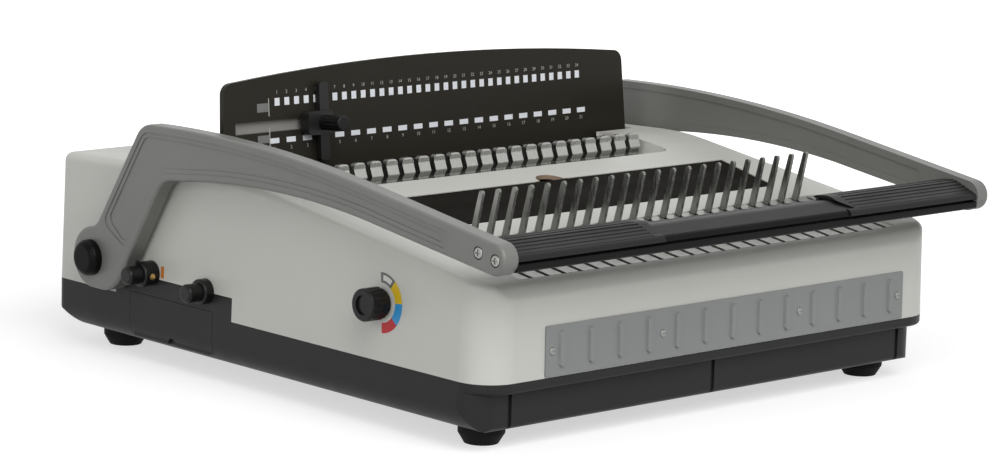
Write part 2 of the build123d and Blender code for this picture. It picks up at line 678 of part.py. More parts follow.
def make_comb_hooks():
    """Sliding plate that carries the row of hooks."""
    v = deck_v(HOOK_Y)
    top = -HOOK_PLATE_DEPTH
    plate = Pos(0, v, top - HOOK_PLATE_T / 2) * Box(2 * (FRAME_X - 4.5), 22, HOOK_PLATE_T)
    reach = 5.0
    outline = [
        (v + 1.6, top),
        (v + 1.6, reach + 1.6),
        (v - 4.4, reach + 1.6),
        (v - 4.4, reach - 1.0),
        (v - 1.6, reach - 1.0),
        (v - 1.6, top),
    ]
    face = side_sketch(outline, {1: 1.5, 2: 0.8, 3: 0.8})
    hook = side_prism(face, -HOOK_T / 2, HOOK_T / 2)
    return on_deck(group([plate] + [Pos(blade_x(index), 0, 0) * hook for index in range(BLADES)]))


def comb_rail():
    """Grooved rail that carries the right end of the hook plate."""
    front = deck_v(HOOK_Y) - 14
    rear = deck_v(HOOK_Y) + HOOK_TRAVEL + 14
    mid = -HOOK_PLATE_DEPTH - HOOK_PLATE_T / 2
    rail = Pos(FRAME_X - 3.5, (front + rear) / 2, mid) * Box(7, rear - front, 6)
    rail -= Pos(FRAME_X - 6, (front + rear) / 2, mid) * Box(
        6, rear - front + 2, HOOK_PLATE_T + 2 * GAP)
    return on_deck(rail)


# ================================================================ frames and shaft
def make_side_frames():
    """Steel side plates that carry the shaft, the punch head and the comb opener."""
    foot_z = BASE_Z + WALL
    top = CREST_Z - WALL - 5
    front = FRONT_Y + 23.6
    rear = HUB_Y + 24
    points = [
        (front, foot_z),
        (front, deck_z(front) - 10),
        (0, deck_z(0) - 10),
        (rear, top - 18),
        (rear, foot_z),
        (DRAWER_REAR_Y + 8, foot_z),
        (DRAWER_REAR_Y + 8, DRAWER_TOP_Z + 3),
        (DRAWER_FRONT_Y - 8, DRAWER_TOP_Z + 3),
        (DRAWER_FRONT_Y - 8, foot_z),
    ]
    face = side_sketch(points, {1: 8, 3: 12, 6: 5, 7: 5})
    plate = side_prism(face, FRAME_X, FRAME_X + FRAME_T)
    for y0, y1 in ((front, DRAWER_FRONT_Y - 8), (DRAWER_REAR_Y + 8, rear)):
        plate += block(FRAME_X - 12, FRAME_X, y0, y1, foot_z, foot_z + FRAME_T)
    plate -= rod_x(HUB_Y, HUB_Z, BUSH_R, FRAME_X - 1, FRAME_X + FRAME_T + 1)
    # lightening holes below the dial
    for y in (DIAL_Y - 18, DIAL_Y + 37):
        plate -= rod_x(y, DIAL_Z - 20, 14, FRAME_X - 1, FRAME_X + FRAME_T + 1)
    for y in (-FOOT_Y, FOOT_Y):
        plate -= rod_z(FOOT_X, y, FOOT_BOSS_R + GAP, 0, CREST_Z / 2)
    plate += comb_rail()
    left = mirror(plate, about=Plane.YZ)
    for y, z, radius in SIDE_SHAFTS:
        left -= rod_x(y, z, radius + FIT, -FRAME_X - FRAME_T - 1, -FRAME_X + 1)
    return group([left, plate])


def make_shaft_bushings():
    """Flanged bushings pressed into the side frames."""
    bush = rod_x(HUB_Y, HUB_Z, BUSH_R, FRAME_X, FRAME_X + FRAME_T)
    bush += rod_x(HUB_Y, HUB_Z, BUSH_R + 3, FRAME_X + FRAME_T, FRAME_X + FRAME_T + 2.5)
    bush -= rod_x(HUB_Y, HUB_Z, SHAFT_R + FIT, FRAME_X - 1, FRAME_X + FRAME_T + 4)
    return group(mirrored(bush))


ARM_X = SIDE_X + ARM_GAP      # inner face of the arms
SHAFT_FLAT = 1.2              # depth of the flats where the arms grip the shaft


def make_pivot_shaft():
    """Steel shaft through both frames, squared where the arms grip it."""
    reach = ARM_X + ARM_T - 2
    shaft = rod_x(HUB_Y, HUB_Z, SHAFT_R, -reach, reach)
    for side in (-1, 1):
        x0, x1 = sorted((side * ARM_X, side * (ARM_X + ARM_T)))
        shaft -= block(x0, x1, HUB_Y - 10, HUB_Y + 10, HUB_Z + SHAFT_R - SHAFT_FLAT, HUB_Z + 20)
    return shaft


def crank_pin(radius, angle):
    """Crank pin centre for an angle measured from straight up towards the back."""
    return HUB_Y + radius * sin(radians(angle)), HUB_Z + radius * cos(radians(angle))


COMB_CRANK = HOOK_TRAVEL * cos(radians(DECK_SLOPE)) / (2 * sin(radians(SWING / 2)))
COMB_PIN_Y, COMB_PIN_Z = crank_pin(COMB_CRANK, -SWING / 2)
PUNCH_PIN_Y, PUNCH_PIN_Z = crank_pin(PUNCH_CRANK, 180 - SWING / 2)


def make_crank_plates():
    """Plates on the shaft with a short crank for the punch and a long one for the comb."""
    hub = Circle(11)
    comb = Pos(COMB_PIN_Y - HUB_Y, COMB_PIN_Z - HUB_Z) * Circle(5.5)
    punch = Pos(PUNCH_PIN_Y - HUB_Y, PUNCH_PIN_Z - HUB_Z) * Circle(5.5)
    face = make_hull((hub + comb + punch).edges())
    plate = side_prism(Pos(HUB_Y, HUB_Z) * face, CRANK_X, CRANK_X + CRANK_T)
    plate -= rod_x(HUB_Y, HUB_Z, SHAFT_R, CRANK_X - 1, CRANK_X + CRANK_T + 1)
    outer = CRANK_X + CRANK_T
    plate += rod_x(COMB_PIN_Y, COMB_PIN_Z, CRANK_PIN_R, outer, outer + GAP + LINK_T + 1)
    plate += rod_x(PUNCH_PIN_Y, PUNCH_PIN_Z, CRANK_PIN_R, CRANK_X - GAP - LINK_T - 1, CRANK_X)
    return group(mirrored(plate))


# ================================================================ handle
def leg_rear_y(z, inset=0.0):
    """Rear edge of the leg at height z."""
    lean = radians(REAR_LEAN)
    return HEEL_Y - inset / sin(lean) - (z - HUB_Z) / tan(lean)


def leg_front_y(z, inset=0.0):
    """Front edge of the leg at height z."""
    lean = radians(FRONT_LEAN)
    return TOE_Y + inset / sin(lean) - (z - HUB_Z + BOSS_R) / tan(lean)


def beam_curves(inset):
    """Elbow, arched upper edge, arched lower edge and crotch, moved into the arm."""
    top_z = ELBOW_Z - inset
    elbow = (leg_rear_y(top_z, inset), top_z)
    upper = ThreePointArc(elbow, (HUB_Y - 112.4, top_z + 1.6), (FRONT_Y + 89.6, top_z - 11.8))
    low_z = CROTCH_Z + inset
    crotch = (leg_front_y(low_z, inset), low_z)
    lower = ThreePointArc((FRONT_Y + 101.6, low_z + 4.0), (BEAM_MID_Y - 5.4, low_z + 9.0),
                          (HUB_Y - 100.4, low_z + 2.8))
    return elbow, upper, lower, crotch


def rounded_outline(edges, corners):
    """Face inside a closed run of edges, with fillets at the named corners."""
    face = make_face(Curve() + edges)
    for (y, z), radius in corners:
        face = fillet(face.vertices().sort_by_distance((y, z, 0))[0], radius)
    return face


def arm_outline():
    """Cranked arm seen from the side: boss, leg, elbow, arched beam and rounded tip."""
    elbow, upper, lower, crotch = beam_curves(0)
    heel = (HEEL_Y, HUB_Z)
    sole_z = HUB_Z - BOSS_R
    toe = (leg_front_y(sole_z), sole_z)
    fall = radians(BEAM_FALL)
    tip_top = (TIP_Y - TIP_R * sin(fall), TIP_Z + TIP_R * cos(fall))
    tip_low = (TIP_Y + TIP_R * sin(fall), TIP_Z - TIP_R * cos(fall))
    edges = [
        Line(heel, elbow),
        upper,
        Line(upper @ 1, tip_top),
        ThreePointArc(tip_top, (TIP_Y - TIP_R, TIP_Z), tip_low),
        Line(tip_low, lower @ 0),
        lower,
        Line(lower @ 1, crotch),
        Line(crotch, toe),
        Line(toe, (HUB_Y, sole_z)),
        Line((HUB_Y, sole_z), heel),
    ]
    face = rounded_outline(edges, ((elbow, 18), (crotch, 20), (toe, 24)))
    face += Pos(HUB_Y, HUB_Z) * Circle(BOSS_R)
    # the leg runs into the boss in a soft curve at the back
    valley = face.vertices().filter_by(lambda vertex: vertex.Y > HUB_Z).sort_by(Axis.X)[-1]
    return fillet(valley, 14)


def arm_panel(inset):
    """Outline of one step of the sunk panel."""
    elbow, upper, lower, crotch = beam_curves(inset)
    rear_z = HUB_Z + BOSS_R + inset
    front_z = rear_z - 15
    rear_end = (leg_rear_y(rear_z, inset), rear_z)
    front_end = (leg_front_y(front_z, inset), front_z)
    y = PANEL_FRONT_Y + inset
    slope = tan(radians(BEAM_FALL))
    top = (y, (upper @ 1).Y - ((upper @ 1).X - y) * slope)
    low = (y, (lower @ 0).Y - ((lower @ 0).X - y) * slope)
    edges = [
        Line(rear_end, elbow),
        upper,
        Line(upper @ 1, top),
        Line(top, low),
        Line(low, lower @ 0),
        lower,
        Line(lower @ 1, crotch),
        Line(crotch, front_end),
        Line(front_end, rear_end),
    ]
    return rounded_outline(edges, ((elbow, 18 - inset), (crotch, 20), (top, 2.4), (low, 2.4),
                                   (rear_end, 6), (front_end, 6)))


ARM_SCREWS = ((BAR_REAR_Y - 11.2, 131.2), (BAR_REAR_Y - 26.4, 128.6))
ARM_SCREW_R = 1.9


def make_arm(side):
    """Arm with a sunk panel on both faces and a cranked leg."""
    outer_x = ARM_X + ARM_T
    arm = side_prism(arm_outline(), ARM_X, outer_x)
    arm = fillet(arm.faces().sort_by(Axis.X)[-1].edges(), 2.2)
    wide = arm_panel(ARM_RIM)
    narrow = arm_panel(ARM_RIM + ARM_STEP)
    arm -= side_prism(wide, outer_x - PANEL_STEP, outer_x + 1)
    arm -= side_prism(narrow, outer_x - 2 * PANEL_STEP, outer_x + 1)
    arm -= side_prism(wide, ARM_X - 1, ARM_X + PANEL_STEP)
    socket = rod_x(HUB_Y, HUB_Z, SHAFT_R, ARM_X - 1, outer_x - 2)
    arm -= socket - block(ARM_X, outer_x, HUB_Y - 10, HUB_Y + 10, HUB_Z + SHAFT_R - SHAFT_FLAT, HUB_Z + 20)
    for y, z in ARM_SCREWS:
        arm -= rod_x(y, z, ARM_SCREW_R + 0.3, ARM_X - 1, outer_x + 1)
        arm -= rod_x(y, z, 4.2, outer_x - 1.6, outer_x + 1)
    return arm if side > 0 else mirror(arm, about=Plane.YZ)


def make_hub_caps():
    """Domed caps over the shaft ends."""
    outer_x = ARM_X + ARM_T
    cap = rod_x(HUB_Y, HUB_Z, CAP_R, outer_x, outer_x + CAP_H)
    cap = fillet(cap.edges().sort_by(Axis.X)[-1], 4.5)
    return group(mirrored(cap))


def bar_outline(grow):
    """Handle section: flat back, rounded crown, groove and lower lip at the front."""
    top = BAR_TOP_Z + grow
    front = BAR_FRONT_Y + 1.5 - grow / 2
    rear = BAR_REAR_Y + grow / 2
    inner = BAR_FRONT_Y + BAR_GROOVE_DEPTH
    groove = BAR_LOW_Z + BAR_LIP_H
    brow = groove + BAR_GROOVE_H
    points = [
        (rear, BAR_LOW_Z + BAR_RISE),
        (rear, top - 1.5),
        (rear - BAR_CROWN, top),
        (front, brow + 3),
        (front, brow),
        (inner, brow),
        (inner, groove),
        (BAR_FRONT_Y, groove),
        (BAR_FRONT_Y, BAR_LOW_Z),
    ]
    return side_sketch(points, {1: 5, 2: 16, 3: 3.5, 7: 1, 8: 2})


def bar_hollow():
    """Bore of the bar, one wall inside its outline and clear of the groove."""
    rear = BAR_REAR_Y - BAR_WALL
    front = BAR_FRONT_Y + BAR_GROOVE_DEPTH + BAR_WALL
    top = BAR_TOP_Z - BAR_WALL
    points = [
        (rear, BAR_LOW_Z + BAR_RISE + BAR_WALL),
        (rear, top - 1.5),
        (BAR_REAR_Y - BAR_CROWN, top),
        (front, BAR_LOW_Z + BAR_LIP_H + BAR_GROOVE_H + 2),
        (front, BAR_LOW_Z + BAR_WALL + 1),
    ]
    return side_sketch(points, {1: 3, 2: 13})


def make_handle_bar():
    """Full-width extruded bar between the arms, hollow, with screw bosses at its ends."""
    bar = side_prism(bar_outline(0), -ARM_X, ARM_X)
    bore = side_prism(bar_hollow(), -ARM_X - 1, ARM_X + 1)
    for y, z in ARM_SCREWS:
        bore -= rod_x(y, z, ARM_SCREW_R + BAR_WALL, -ARM_X - 2, ARM_X + 2)
        bore -= block(-ARM_X - 2, ARM_X + 2, y - BAR_WALL / 2, y + BAR_WALL / 2, BAR_LOW_Z, BAR_TOP_Z)
    bar -= bore
    for y, z in ARM_SCREWS:
        for side in (-1, 1):
            bar -= rod_x(y, z, ARM_SCREW_R, side * (ARM_X - 14), side * (ARM_X + 1))
    return bar


def make_grips():
    """Ribbed sleeves over both ends of the bar."""
    brow = BAR_LOW_Z + BAR_LIP_H + BAR_GROOVE_H
    upper = block(-ARM_X, ARM_X, BAR_FRONT_Y - 10, BAR_REAR_Y + 10, brow, BAR_TOP_Z + 20)
    sleeve = side_prism(bar_outline(GRIP_T), GRIP_INNER_X, ARM_X) & upper
    # lengthwise ribs are left standing between shallow flutes over the crown
    crown = side_prism(bar_outline(GRIP_T), GRIP_INNER_X + 8, ARM_X + 1) & upper
    core = side_prism(bar_outline(GRIP_T - FLUTE_DEPTH), GRIP_INNER_X, ARM_X + 2)
    for index in range(FLUTES):
        y = BAR_REAR_Y - 6 - index * FLUTE_PITCH
        flute = block(GRIP_INNER_X, ARM_X + 2, y - FLUTE_W / 2, y + FLUTE_W / 2, brow + 2, BAR_TOP_Z + 20)
        sleeve -= crown & flute - core
    sleeve -= side_prism(bar_outline(0), GRIP_INNER_X - 1, ARM_X + 1)
    # bevelled inner end, rising from the bar to the crown of the sleeve
    bevel = Pos(GRIP_INNER_X, 0, BAR_TOP_Z) * Rot(0, -62, 0) * block(-SPAN, 0, -SPAN, 0, -SPAN, SPAN)
    keep_low = block(-SPAN, SPAN, -SPAN, 0, 0, BAR_TOP_Z - 4)
    sleeve -= bevel - keep_low
    largest = sleeve.solids().sort_by(SortBy.VOLUME)[-1]
    return group(mirrored(largest))


def make_arm_screws():
    """Pan head screws that hold the bar between the arms."""
    seat_x = ARM_X + ARM_T - 1.6
    screws = []
    for y, z in ARM_SCREWS:
        screw = rod_x(y, z, 3.6, seat_x, seat_x + 1.8)
        screw = fillet(screw.edges().sort_by(Axis.X)[-1], 0.9)
        screw += rod_x(y, z, ARM_SCREW_R - 0.05, ARM_X - 12, seat_x)
        screw -= Pos(seat_x + 1.6, y, z) * Box(1.4, 4.2, 0.9)
        screw -= Pos(seat_x + 1.6, y, z) * Box(1.4, 0.9, 4.2)
        screws += mirrored(screw)
    return group(screws)


# ================================================================ punch head
BAR_FRONT = SLOT_Y - GUIDE_T - 8 - BAR_T      # front face of the punch bar, handle down


def make_pin_guide():
    """Front plate of the die: a hole for every pin, a blind pocket for every selector shank."""
    plate = block(-FRAME_X, FRAME_X, SLOT_Y - GUIDE_T, SLOT_Y, DIE_LOW, DIE_HIGH)
    for index in range(HOLES):
        x = hole_x(index)
        plate -= block(x - HOLE_W / 2 - PIN_PLAY, x + HOLE_W / 2 + PIN_PLAY, 0, 30,
                       PIN_Z - HOLE_H / 2 - PIN_PLAY, PIN_Z + HOLE_H / 2 + PIN_PLAY)
        plate -= shank_slot(index, DIE_HIGH - TAB_LIFT - 7, DIE_HIGH + 1)
    return plate


def make_die_plate():
    """Rear plate of the die; the chips fall away behind it."""
    y0 = SLOT_Y + SLOT_W
    plate = block(-FRAME_X, FRAME_X, y0, y0 + DIE_T, DIE_LOW, DIE_HIGH)
    # the end blocks close the slot and tie both plates together
    for side in (-1, 1):
        plate += block(*sorted((side * (WELL_HALF + 8), side * FRAME_X)), SLOT_Y, y0, DIE_LOW, DIE_HIGH)
    for index in range(HOLES):
        x = hole_x(index)
        plate -= block(x - HOLE_W / 2 - PIN_PLAY, x + HOLE_W / 2 + PIN_PLAY, y0 - 1, y0 + 4,
                       PIN_Z - HOLE_H / 2 - PIN_PLAY, PIN_Z + HOLE_H / 2 + PIN_PLAY)
        plate -= block(x - HOLE_W / 2 - 1, x + HOLE_W / 2 + 1, y0 + 4, y0 + DIE_T + 1,
                       PIN_Z - HOLE_H / 2 - 1, PIN_Z + HOLE_H / 2 + 1)
    return plate


def make_punch_bar():
    """Bar that drives all the pins."""
    bar = block(-CRANK_X + GAP + LINK_T, CRANK_X - GAP - LINK_T, BAR_FRONT, BAR_FRONT + BAR_T,
                PIN_Z - BAR_H / 2, PIN_Z + BAR_H / 2)
    bar = chamfer(bar.edges().filter_by(Axis.X), 1.5)
    for index in range(HOLES):
        x = hole_x(index)
        bar -= block(x - HOLE_W / 2, x + HOLE_W / 2, BAR_FRONT + BAR_T - 4, BAR_FRONT + BAR_T + 1,
                     PIN_Z - HOLE_H / 2, PIN_Z + HOLE_H / 2)
    return bar


def make_punch_pins():
    """Flat-sided pins with a hollow-ground cutting end."""
    pins = []
    y0 = BAR_FRONT + BAR_T - 4
    y1 = SLOT_Y + SLOT_W + PIN_REACH
    for index in range(HOLES):
        x = hole_x(index)
        pin = block(x - HOLE_W / 2 + 0.05, x + HOLE_W / 2 - 0.05, y0, y1,
                    PIN_Z - HOLE_H / 2 + 0.05, PIN_Z + HOLE_H / 2 - 0.05)
        pin -= rod_z(x, y1 + 6.2, 7.0, PIN_Z - 5, PIN_Z + 5)
        pins.append(pin)
    return group(pins)


def make_punch_links():
    """Links from the short cranks to the ends of the punch bar, forked at the back."""
    x0 = CRANK_X - GAP - LINK_T
    low = PUNCH_PIN_Z - 10.5
    fork = 3.1
    points = [
        (BAR_FRONT, low),
        (PUNCH_PIN_Y + 7, low),
        (PUNCH_PIN_Y + 7, HUB_Z - SHAFT_R - 1.3),
        (PUNCH_PIN_Y - 7, HUB_Z - SHAFT_R - 1.3),
        (PUNCH_PIN_Y - 22, low + 8),
        (BAR_FRONT + BAR_T, low + 8),
        (BAR_FRONT + BAR_T, PIN_Z + BAR_H / 2),
        (BAR_FRONT, PIN_Z + BAR_H / 2),
    ]
    link = side_prism(side_sketch(points), x0, x0 + LINK_T)
    link -= block(x0 - 1, x0 + LINK_T + 1, PUNCH_PIN_Y - fork, PUNCH_PIN_Y + fork,
                  PUNCH_PIN_Z - CRANK_PIN_R - 3.3, HUB_Z)
    return group(mirrored(link))


def make_comb_links():
    """Links from the long cranks to the hook plate, slotted at the back."""
    x0 = CRANK_X + CRANK_T + GAP
    low = 71.0
    rise = HOOK_TRAVEL * sin(radians(DECK_SLOPE))
    plate_v = deck_v(HOOK_Y)
    front_y = CREST_Y + plate_v * cos(radians(DECK_SLOPE))
    head = CREST_Z + plate_v * sin(radians(DECK_SLOPE)) - HOOK_PLATE_DEPTH - HOOK_PLATE_T
    points = [
        (front_y - 6, low),
        (HUB_Y - SHAFT_R - HOOK_TRAVEL - 2, low),
        (COMB_PIN_Y + 9, HUB_Z + SHAFT_R + 1),
        (COMB_PIN_Y + 9, COMB_PIN_Z + 10.5),
        (COMB_PIN_Y - 9, COMB_PIN_Z + 10.5),
        (COMB_PIN_Y - 18, low + 8),
        (front_y + 6, low + 8),
        (front_y + 6, head + 2),
        (front_y - 6, head + 0.4),
    ]
    link = side_prism(side_sketch(points), x0, x0 + LINK_T)
    under = Pos(0, 0, -HOOK_PLATE_DEPTH - HOOK_PLATE_T + 25) * Box(SPAN, SPAN, 50)
    link -= on_deck(under)
    link -= block(x0 - 1, x0 + LINK_T + 1, COMB_PIN_Y - 3.6, COMB_PIN_Y + 3.6,
                  COMB_PIN_Z - rise - CRANK_PIN_R - 0.8, COMB_PIN_Z + CRANK_PIN_R + 3.8)
    return group(mirrored(link))


RAIL_TOP_Z = DIE_HIGH + 8.5       # top of the selector rail
TAB_W = 10.0
TAB_H = 16.7
TAB_LIFT = 8.0
SHANK_W = 5.6
SHANK_T = 2.4
SHANK_PLAY = 0.15                 # around the shanks in their slots
TAB_Y = SLOT_Y - 7.5


def shank_slot(index, z0, z1):
    """Slot that guides the shank of one selector tab."""
    half_w = SHANK_W / 2 + SHANK_PLAY
    half_t = SHANK_T / 2 + SHANK_PLAY
    x = hole_x(index)
    return block(x - half_w, x + half_w, TAB_Y - half_t, TAB_Y + half_t, z0, z1)


def make_selector_rail():
    """Rail over the front plate with a slot for every selector tab."""
    half = WELL_HALF - 0.5
    rail = block(-half, half, RAIL_FRONT_Y, SLOT_Y - 1.5, DIE_HIGH, RAIL_TOP_Z)
    rail = fillet(rail.edges().filter_by(Axis.X).sort_by(Axis.Z)[-2:], 1)
    for index in range(HOLES):
        rail -= shank_slot(index, DIE_HIGH - 1, RAIL_TOP_Z + 1)
    return rail


def make_pin_tab(index):
    """Selector tab: curled lip, slim neck, full belly, narrow foot and a flat shank."""
    x = hole_x(index)
    z0 = RAIL_TOP_Z + GAP
    y = TAB_Y
    lip = z0 + TAB_H
    belly = z0 + 0.42 * TAB_H
    points = [
        (y - 1.8, z0),
        (y + 2.2, z0),
        (y + 2.6, z0 + 1.6),
        (y + 0.9, z0 + 3.0),
        (y + 4.0, belly),
        (y + 0.7, lip - 3.6),
        (y + 2.7, lip - 1.6),
        (y + 2.3, lip),
        (y - 1.7, lip),
        (y - 1.5, lip - 4.2),
        (y - 4.0, belly - 0.6),
        (y - 1.7, z0 + 2.8),
    ]
    radii = {2: 0.8, 3: 0.5, 4: 1.4, 5: 1.4, 6: 0.5, 7: 0.7, 8: 1.2, 9: 2.5, 10: 1.6, 11: 0.7}
    tab = side_prism(side_sketch(points, radii), x - TAB_W / 2, x + TAB_W / 2)
    # tombstone front: rounded upper corners, foot drawn in
    front = RectangleRounded(TAB_W, TAB_H, 3.0)
    tab &= extrude(Plane.XZ * (Pos(x, z0 + TAB_H / 2) * front), amount=60, both=True)
    tab += block(x - SHANK_W / 2, x + SHANK_W / 2, y - SHANK_T / 2, y + SHANK_T / 2,
                 DIE_HIGH - TAB_LIFT - 3, z0 + 1)
    return tab


def make_paper_chute():
    """Black ramp behind the slot that leads the sheets in and holds the scale plate."""
    y0 = SLOT_Y + SLOT_W + 0.6
    foot = SCALE_LOW_Z - 4
    back = SCALE_Y + SCALE_T + 4
    ledge = CREST_Z - WALL - 3.2
    points = [
        (y0, DIE_HIGH),
        (y0 + 14, DIE_HIGH),
        (y0 + 14, foot - 4),
        (back, foot - 4),
        (back, ledge),
        (SCALE_Y - 2, ledge),
        (SCALE_Y - 2, DIE_HIGH + 14),
    ]
    chute = side_prism(side_sketch(points), -WELL_HALF + 0.5, WELL_HALF - 0.5)
    chute += block(-FRAME_X, FRAME_X, SCALE_Y - 5, back, foot - 4, ledge)
    chute -= scale_place() * block(-SCALE_HALF - SEAT, SCALE_HALF + SEAT, -SEAT, SCALE_T + SEAT, 0, 60)
    return chute


# ================================================================ sheet scale
def scale_place():
    """Foot of the leaning scale plate."""
    return Pos(0, SCALE_Y, SCALE_LOW_Z) * Rot(-SCALE_LEAN, 0, 0)


SCALE_H = (SCALE_TOP_Z - SCALE_LOW_Z) / cos(radians(SCALE_LEAN))


def make_scale_plate():
    """Arched plate that backs the sheets, with the slot of the sheet guide."""
    side_h = SCALE_H - SCALE_ARCH
    top_half = SCALE_HALF - 3
    outline = [
        Line((-SCALE_HALF, 0), (SCALE_HALF, 0)),
        Line((SCALE_HALF, 0), (top_half, side_h)),
        ThreePointArc((top_half, side_h), (0, SCALE_H), (-top_half, side_h)),
        Line((-top_half, side_h), (-SCALE_HALF, 0)),
    ]
    face = make_face(Curve() + outline)
    for x in (-top_half, top_half):
        face = fillet(face.vertices().sort_by_distance((x, side_h, 0))[0], SCALE_CORNER_R)
    slot_z = (RAIL_Z - SCALE_LOW_Z) / cos(radians(SCALE_LEAN))
    face -= Pos((RAIL_LEFT + RAIL_RIGHT) / 2, slot_z) * Rectangle(RAIL_RIGHT - RAIL_LEFT, RAIL_H)
    # XZ extrusion runs towards -Y, so the plate is set back by its thickness
    plate = Pos(0, SCALE_T, 0) * extrude(Plane.XZ * face, amount=SCALE_T)
    return scale_place() * plate


def make_guide_rail():
    """Grey rail behind the slot of the scale plate."""
    slot_z = (RAIL_Z - SCALE_LOW_Z) / cos(radians(SCALE_LEAN))
    rail = block(RAIL_LEFT - 5, RAIL_RIGHT + 5, SCALE_T, SCALE_T + 1.5,
                 slot_z - RAIL_H / 2 - 4, slot_z + RAIL_H / 2 + 4)
    return scale_place() * rail


def make_sheet_guide():
    """Slider with a long finger that sets the edge of the sheets."""
    slot_z = (RAIL_Z - SCALE_LOW_Z) / cos(radians(SCALE_LEAN))
    body = block(GUIDE_X - 14, GUIDE_X + 8, -9, -GAP, slot_z - 8, slot_z + 8)
    body = fillet(body.edges().filter_by(Axis.Y), 3)
    body += block(GUIDE_X - 10, GUIDE_X + 4, -2, SCALE_T - GAP, slot_z - RAIL_H / 2 + GAP,
                  slot_z + RAIL_H / 2 - GAP)
    finger = block(GUIDE_X - 1, GUIDE_X + 7, -5.5, -1.2, slot_z - 26, slot_z + 27)
    body += fillet(finger.edges().filter_by(Axis.Y), 2)
    body -= rod_y(GUIDE_X, slot_z, 2 + FIT, -12, -1)
    return scale_place() * body


def make_guide_knob():
    """Clamp knob of the sheet guide."""
    slot_z = (RAIL_Z - SCALE_LOW_Z) / cos(radians(SCALE_LEAN))
    knob = rod_y(GUIDE_X, slot_z, 5.2, -29, -9 - GAP)
    knob = fillet(knob.edges().sort_by(Axis.Y)[0], 1)
    knob += rod_y(GUIDE_X, slot_z, 2, -10, -1.5)
    for index in range(12):
        angle = radians(30 * index)
        knob -= rod_y(GUIDE_X + 5.6 * cos(angle), slot_z + 5.6 * sin(angle), 0.8, -28, -12)
    return scale_place() * knob


# ================================================================ side controls
def side_knob(y, z, skirt_l, grip_l, grip_r):
    """Knob on the left wall: wide skirt, slimmer grip, shaft into the side frame."""
    face_x = -wall_x(z) - GAP
    knob = rod_x(y, z, KNOB_DISC_R, face_x - skirt_l, face_x)
    knob = fillet(knob.edges().sort_by(Axis.X)[0], 1.5)
    grip = rod_x(y, z, grip_r, face_x - skirt_l - grip_l, face_x - skirt_l)
    knob += fillet(grip.edges().sort_by(Axis.X)[0], 2)
    knob += rod_x(y, z, KNOB_SHAFT_R, face_x, -FRAME_X + 4)
    return knob


def margin_screw_x():
    """The grub screw sits in the middle of the skirt of the margin knob."""
    return -wall_x(MARGIN_Z) - GAP - MARGIN_SKIRT_L / 2


def make_margin_knob():
    """Sets the depth stop; the pointer stands on the end of the skirt."""
    knob = side_knob(MARGIN_Y, MARGIN_Z, MARGIN_SKIRT_L, MARGIN_GRIP_L, 6.2)
    skirt_x = -wall_x(MARGIN_Z) - GAP - MARGIN_SKIRT_L
    knob += block(skirt_x - 3.5, skirt_x, MARGIN_Y - 1.2, MARGIN_Y + 1.2, MARGIN_Z, MARGIN_Z + 9.5)
    return knob - rod_y(margin_screw_x(), MARGIN_Z - 1, 2.3, MARGIN_Y - 10, MARGIN_Y - 5)


def make_margin_screw():
    """Brass grub screw that clamps the margin knob to its shaft."""
    screw = rod_y(margin_screw_x(), MARGIN_Z - 1, 2.25, MARGIN_Y - 8.2, MARGIN_Y - 5)
    return screw - Pos(margin_screw_x(), MARGIN_Y - 8.2, MARGIN_Z - 1) * Box(3, 1.2, 0.8)


def make_edge_knob():
    """Moves the side stop of the sheets."""
    return side_knob(EDGE_Y, EDGE_Z, EDGE_SKIRT_L, EDGE_GRIP_L, 6.2)


def make_comb_size_knob():
    """Dial that sets how far the comb opens."""
    face_x = -wall_x(DIAL_Z) - GAP
    knob = rod_x(DIAL_Y, DIAL_Z, DIAL_R - 1.6, face_x - 6, face_x)
    knob += rod_x(DIAL_Y, DIAL_Z, DIAL_R, face_x - DIAL_L, face_x - 3)
    knob = fillet(knob.edges().sort_by(Axis.X)[0], 1.2)
    for index in range(18):
        angle = radians(20 * index)
        knob -= rod_x(DIAL_Y + (DIAL_R + 0.4) * cos(angle), DIAL_Z + (DIAL_R + 0.4) * sin(angle),
                      0.9, face_x - DIAL_L + 2, face_x - 3)
    knob -= rod_x(DIAL_Y, DIAL_Z, DIAL_R - 4.2, face_x - DIAL_L - 1, face_x - DIAL_L + 1.5)
    knob += rod_x(DIAL_Y, DIAL_Z, DIAL_SHAFT_R, face_x, -FRAME_X + 4)
    return knob


def make_depth_stop():
    """Bar under the paper slot that sets the margin."""
    y0 = SLOT_Y + GAP
    return block(-WELL_HALF, WELL_HALF, y0, SLOT_Y + SLOT_W - GAP, DIE_LOW - 6, DIE_LOW + 3)


def make_edge_stop():
    """Block in the slot that stops the side of the sheets."""
    y0 = SLOT_Y + GAP
    x0 = -WELL_HALF - 7.5
    stop = block(x0, x0 + 8, y0, SLOT_Y + SLOT_W - GAP, DIE_LOW + 18, DIE_HIGH)
    return chamfer(stop.edges().filter_by(Axis.Y).sort_by(Axis.Z)[-1:], 1.5)


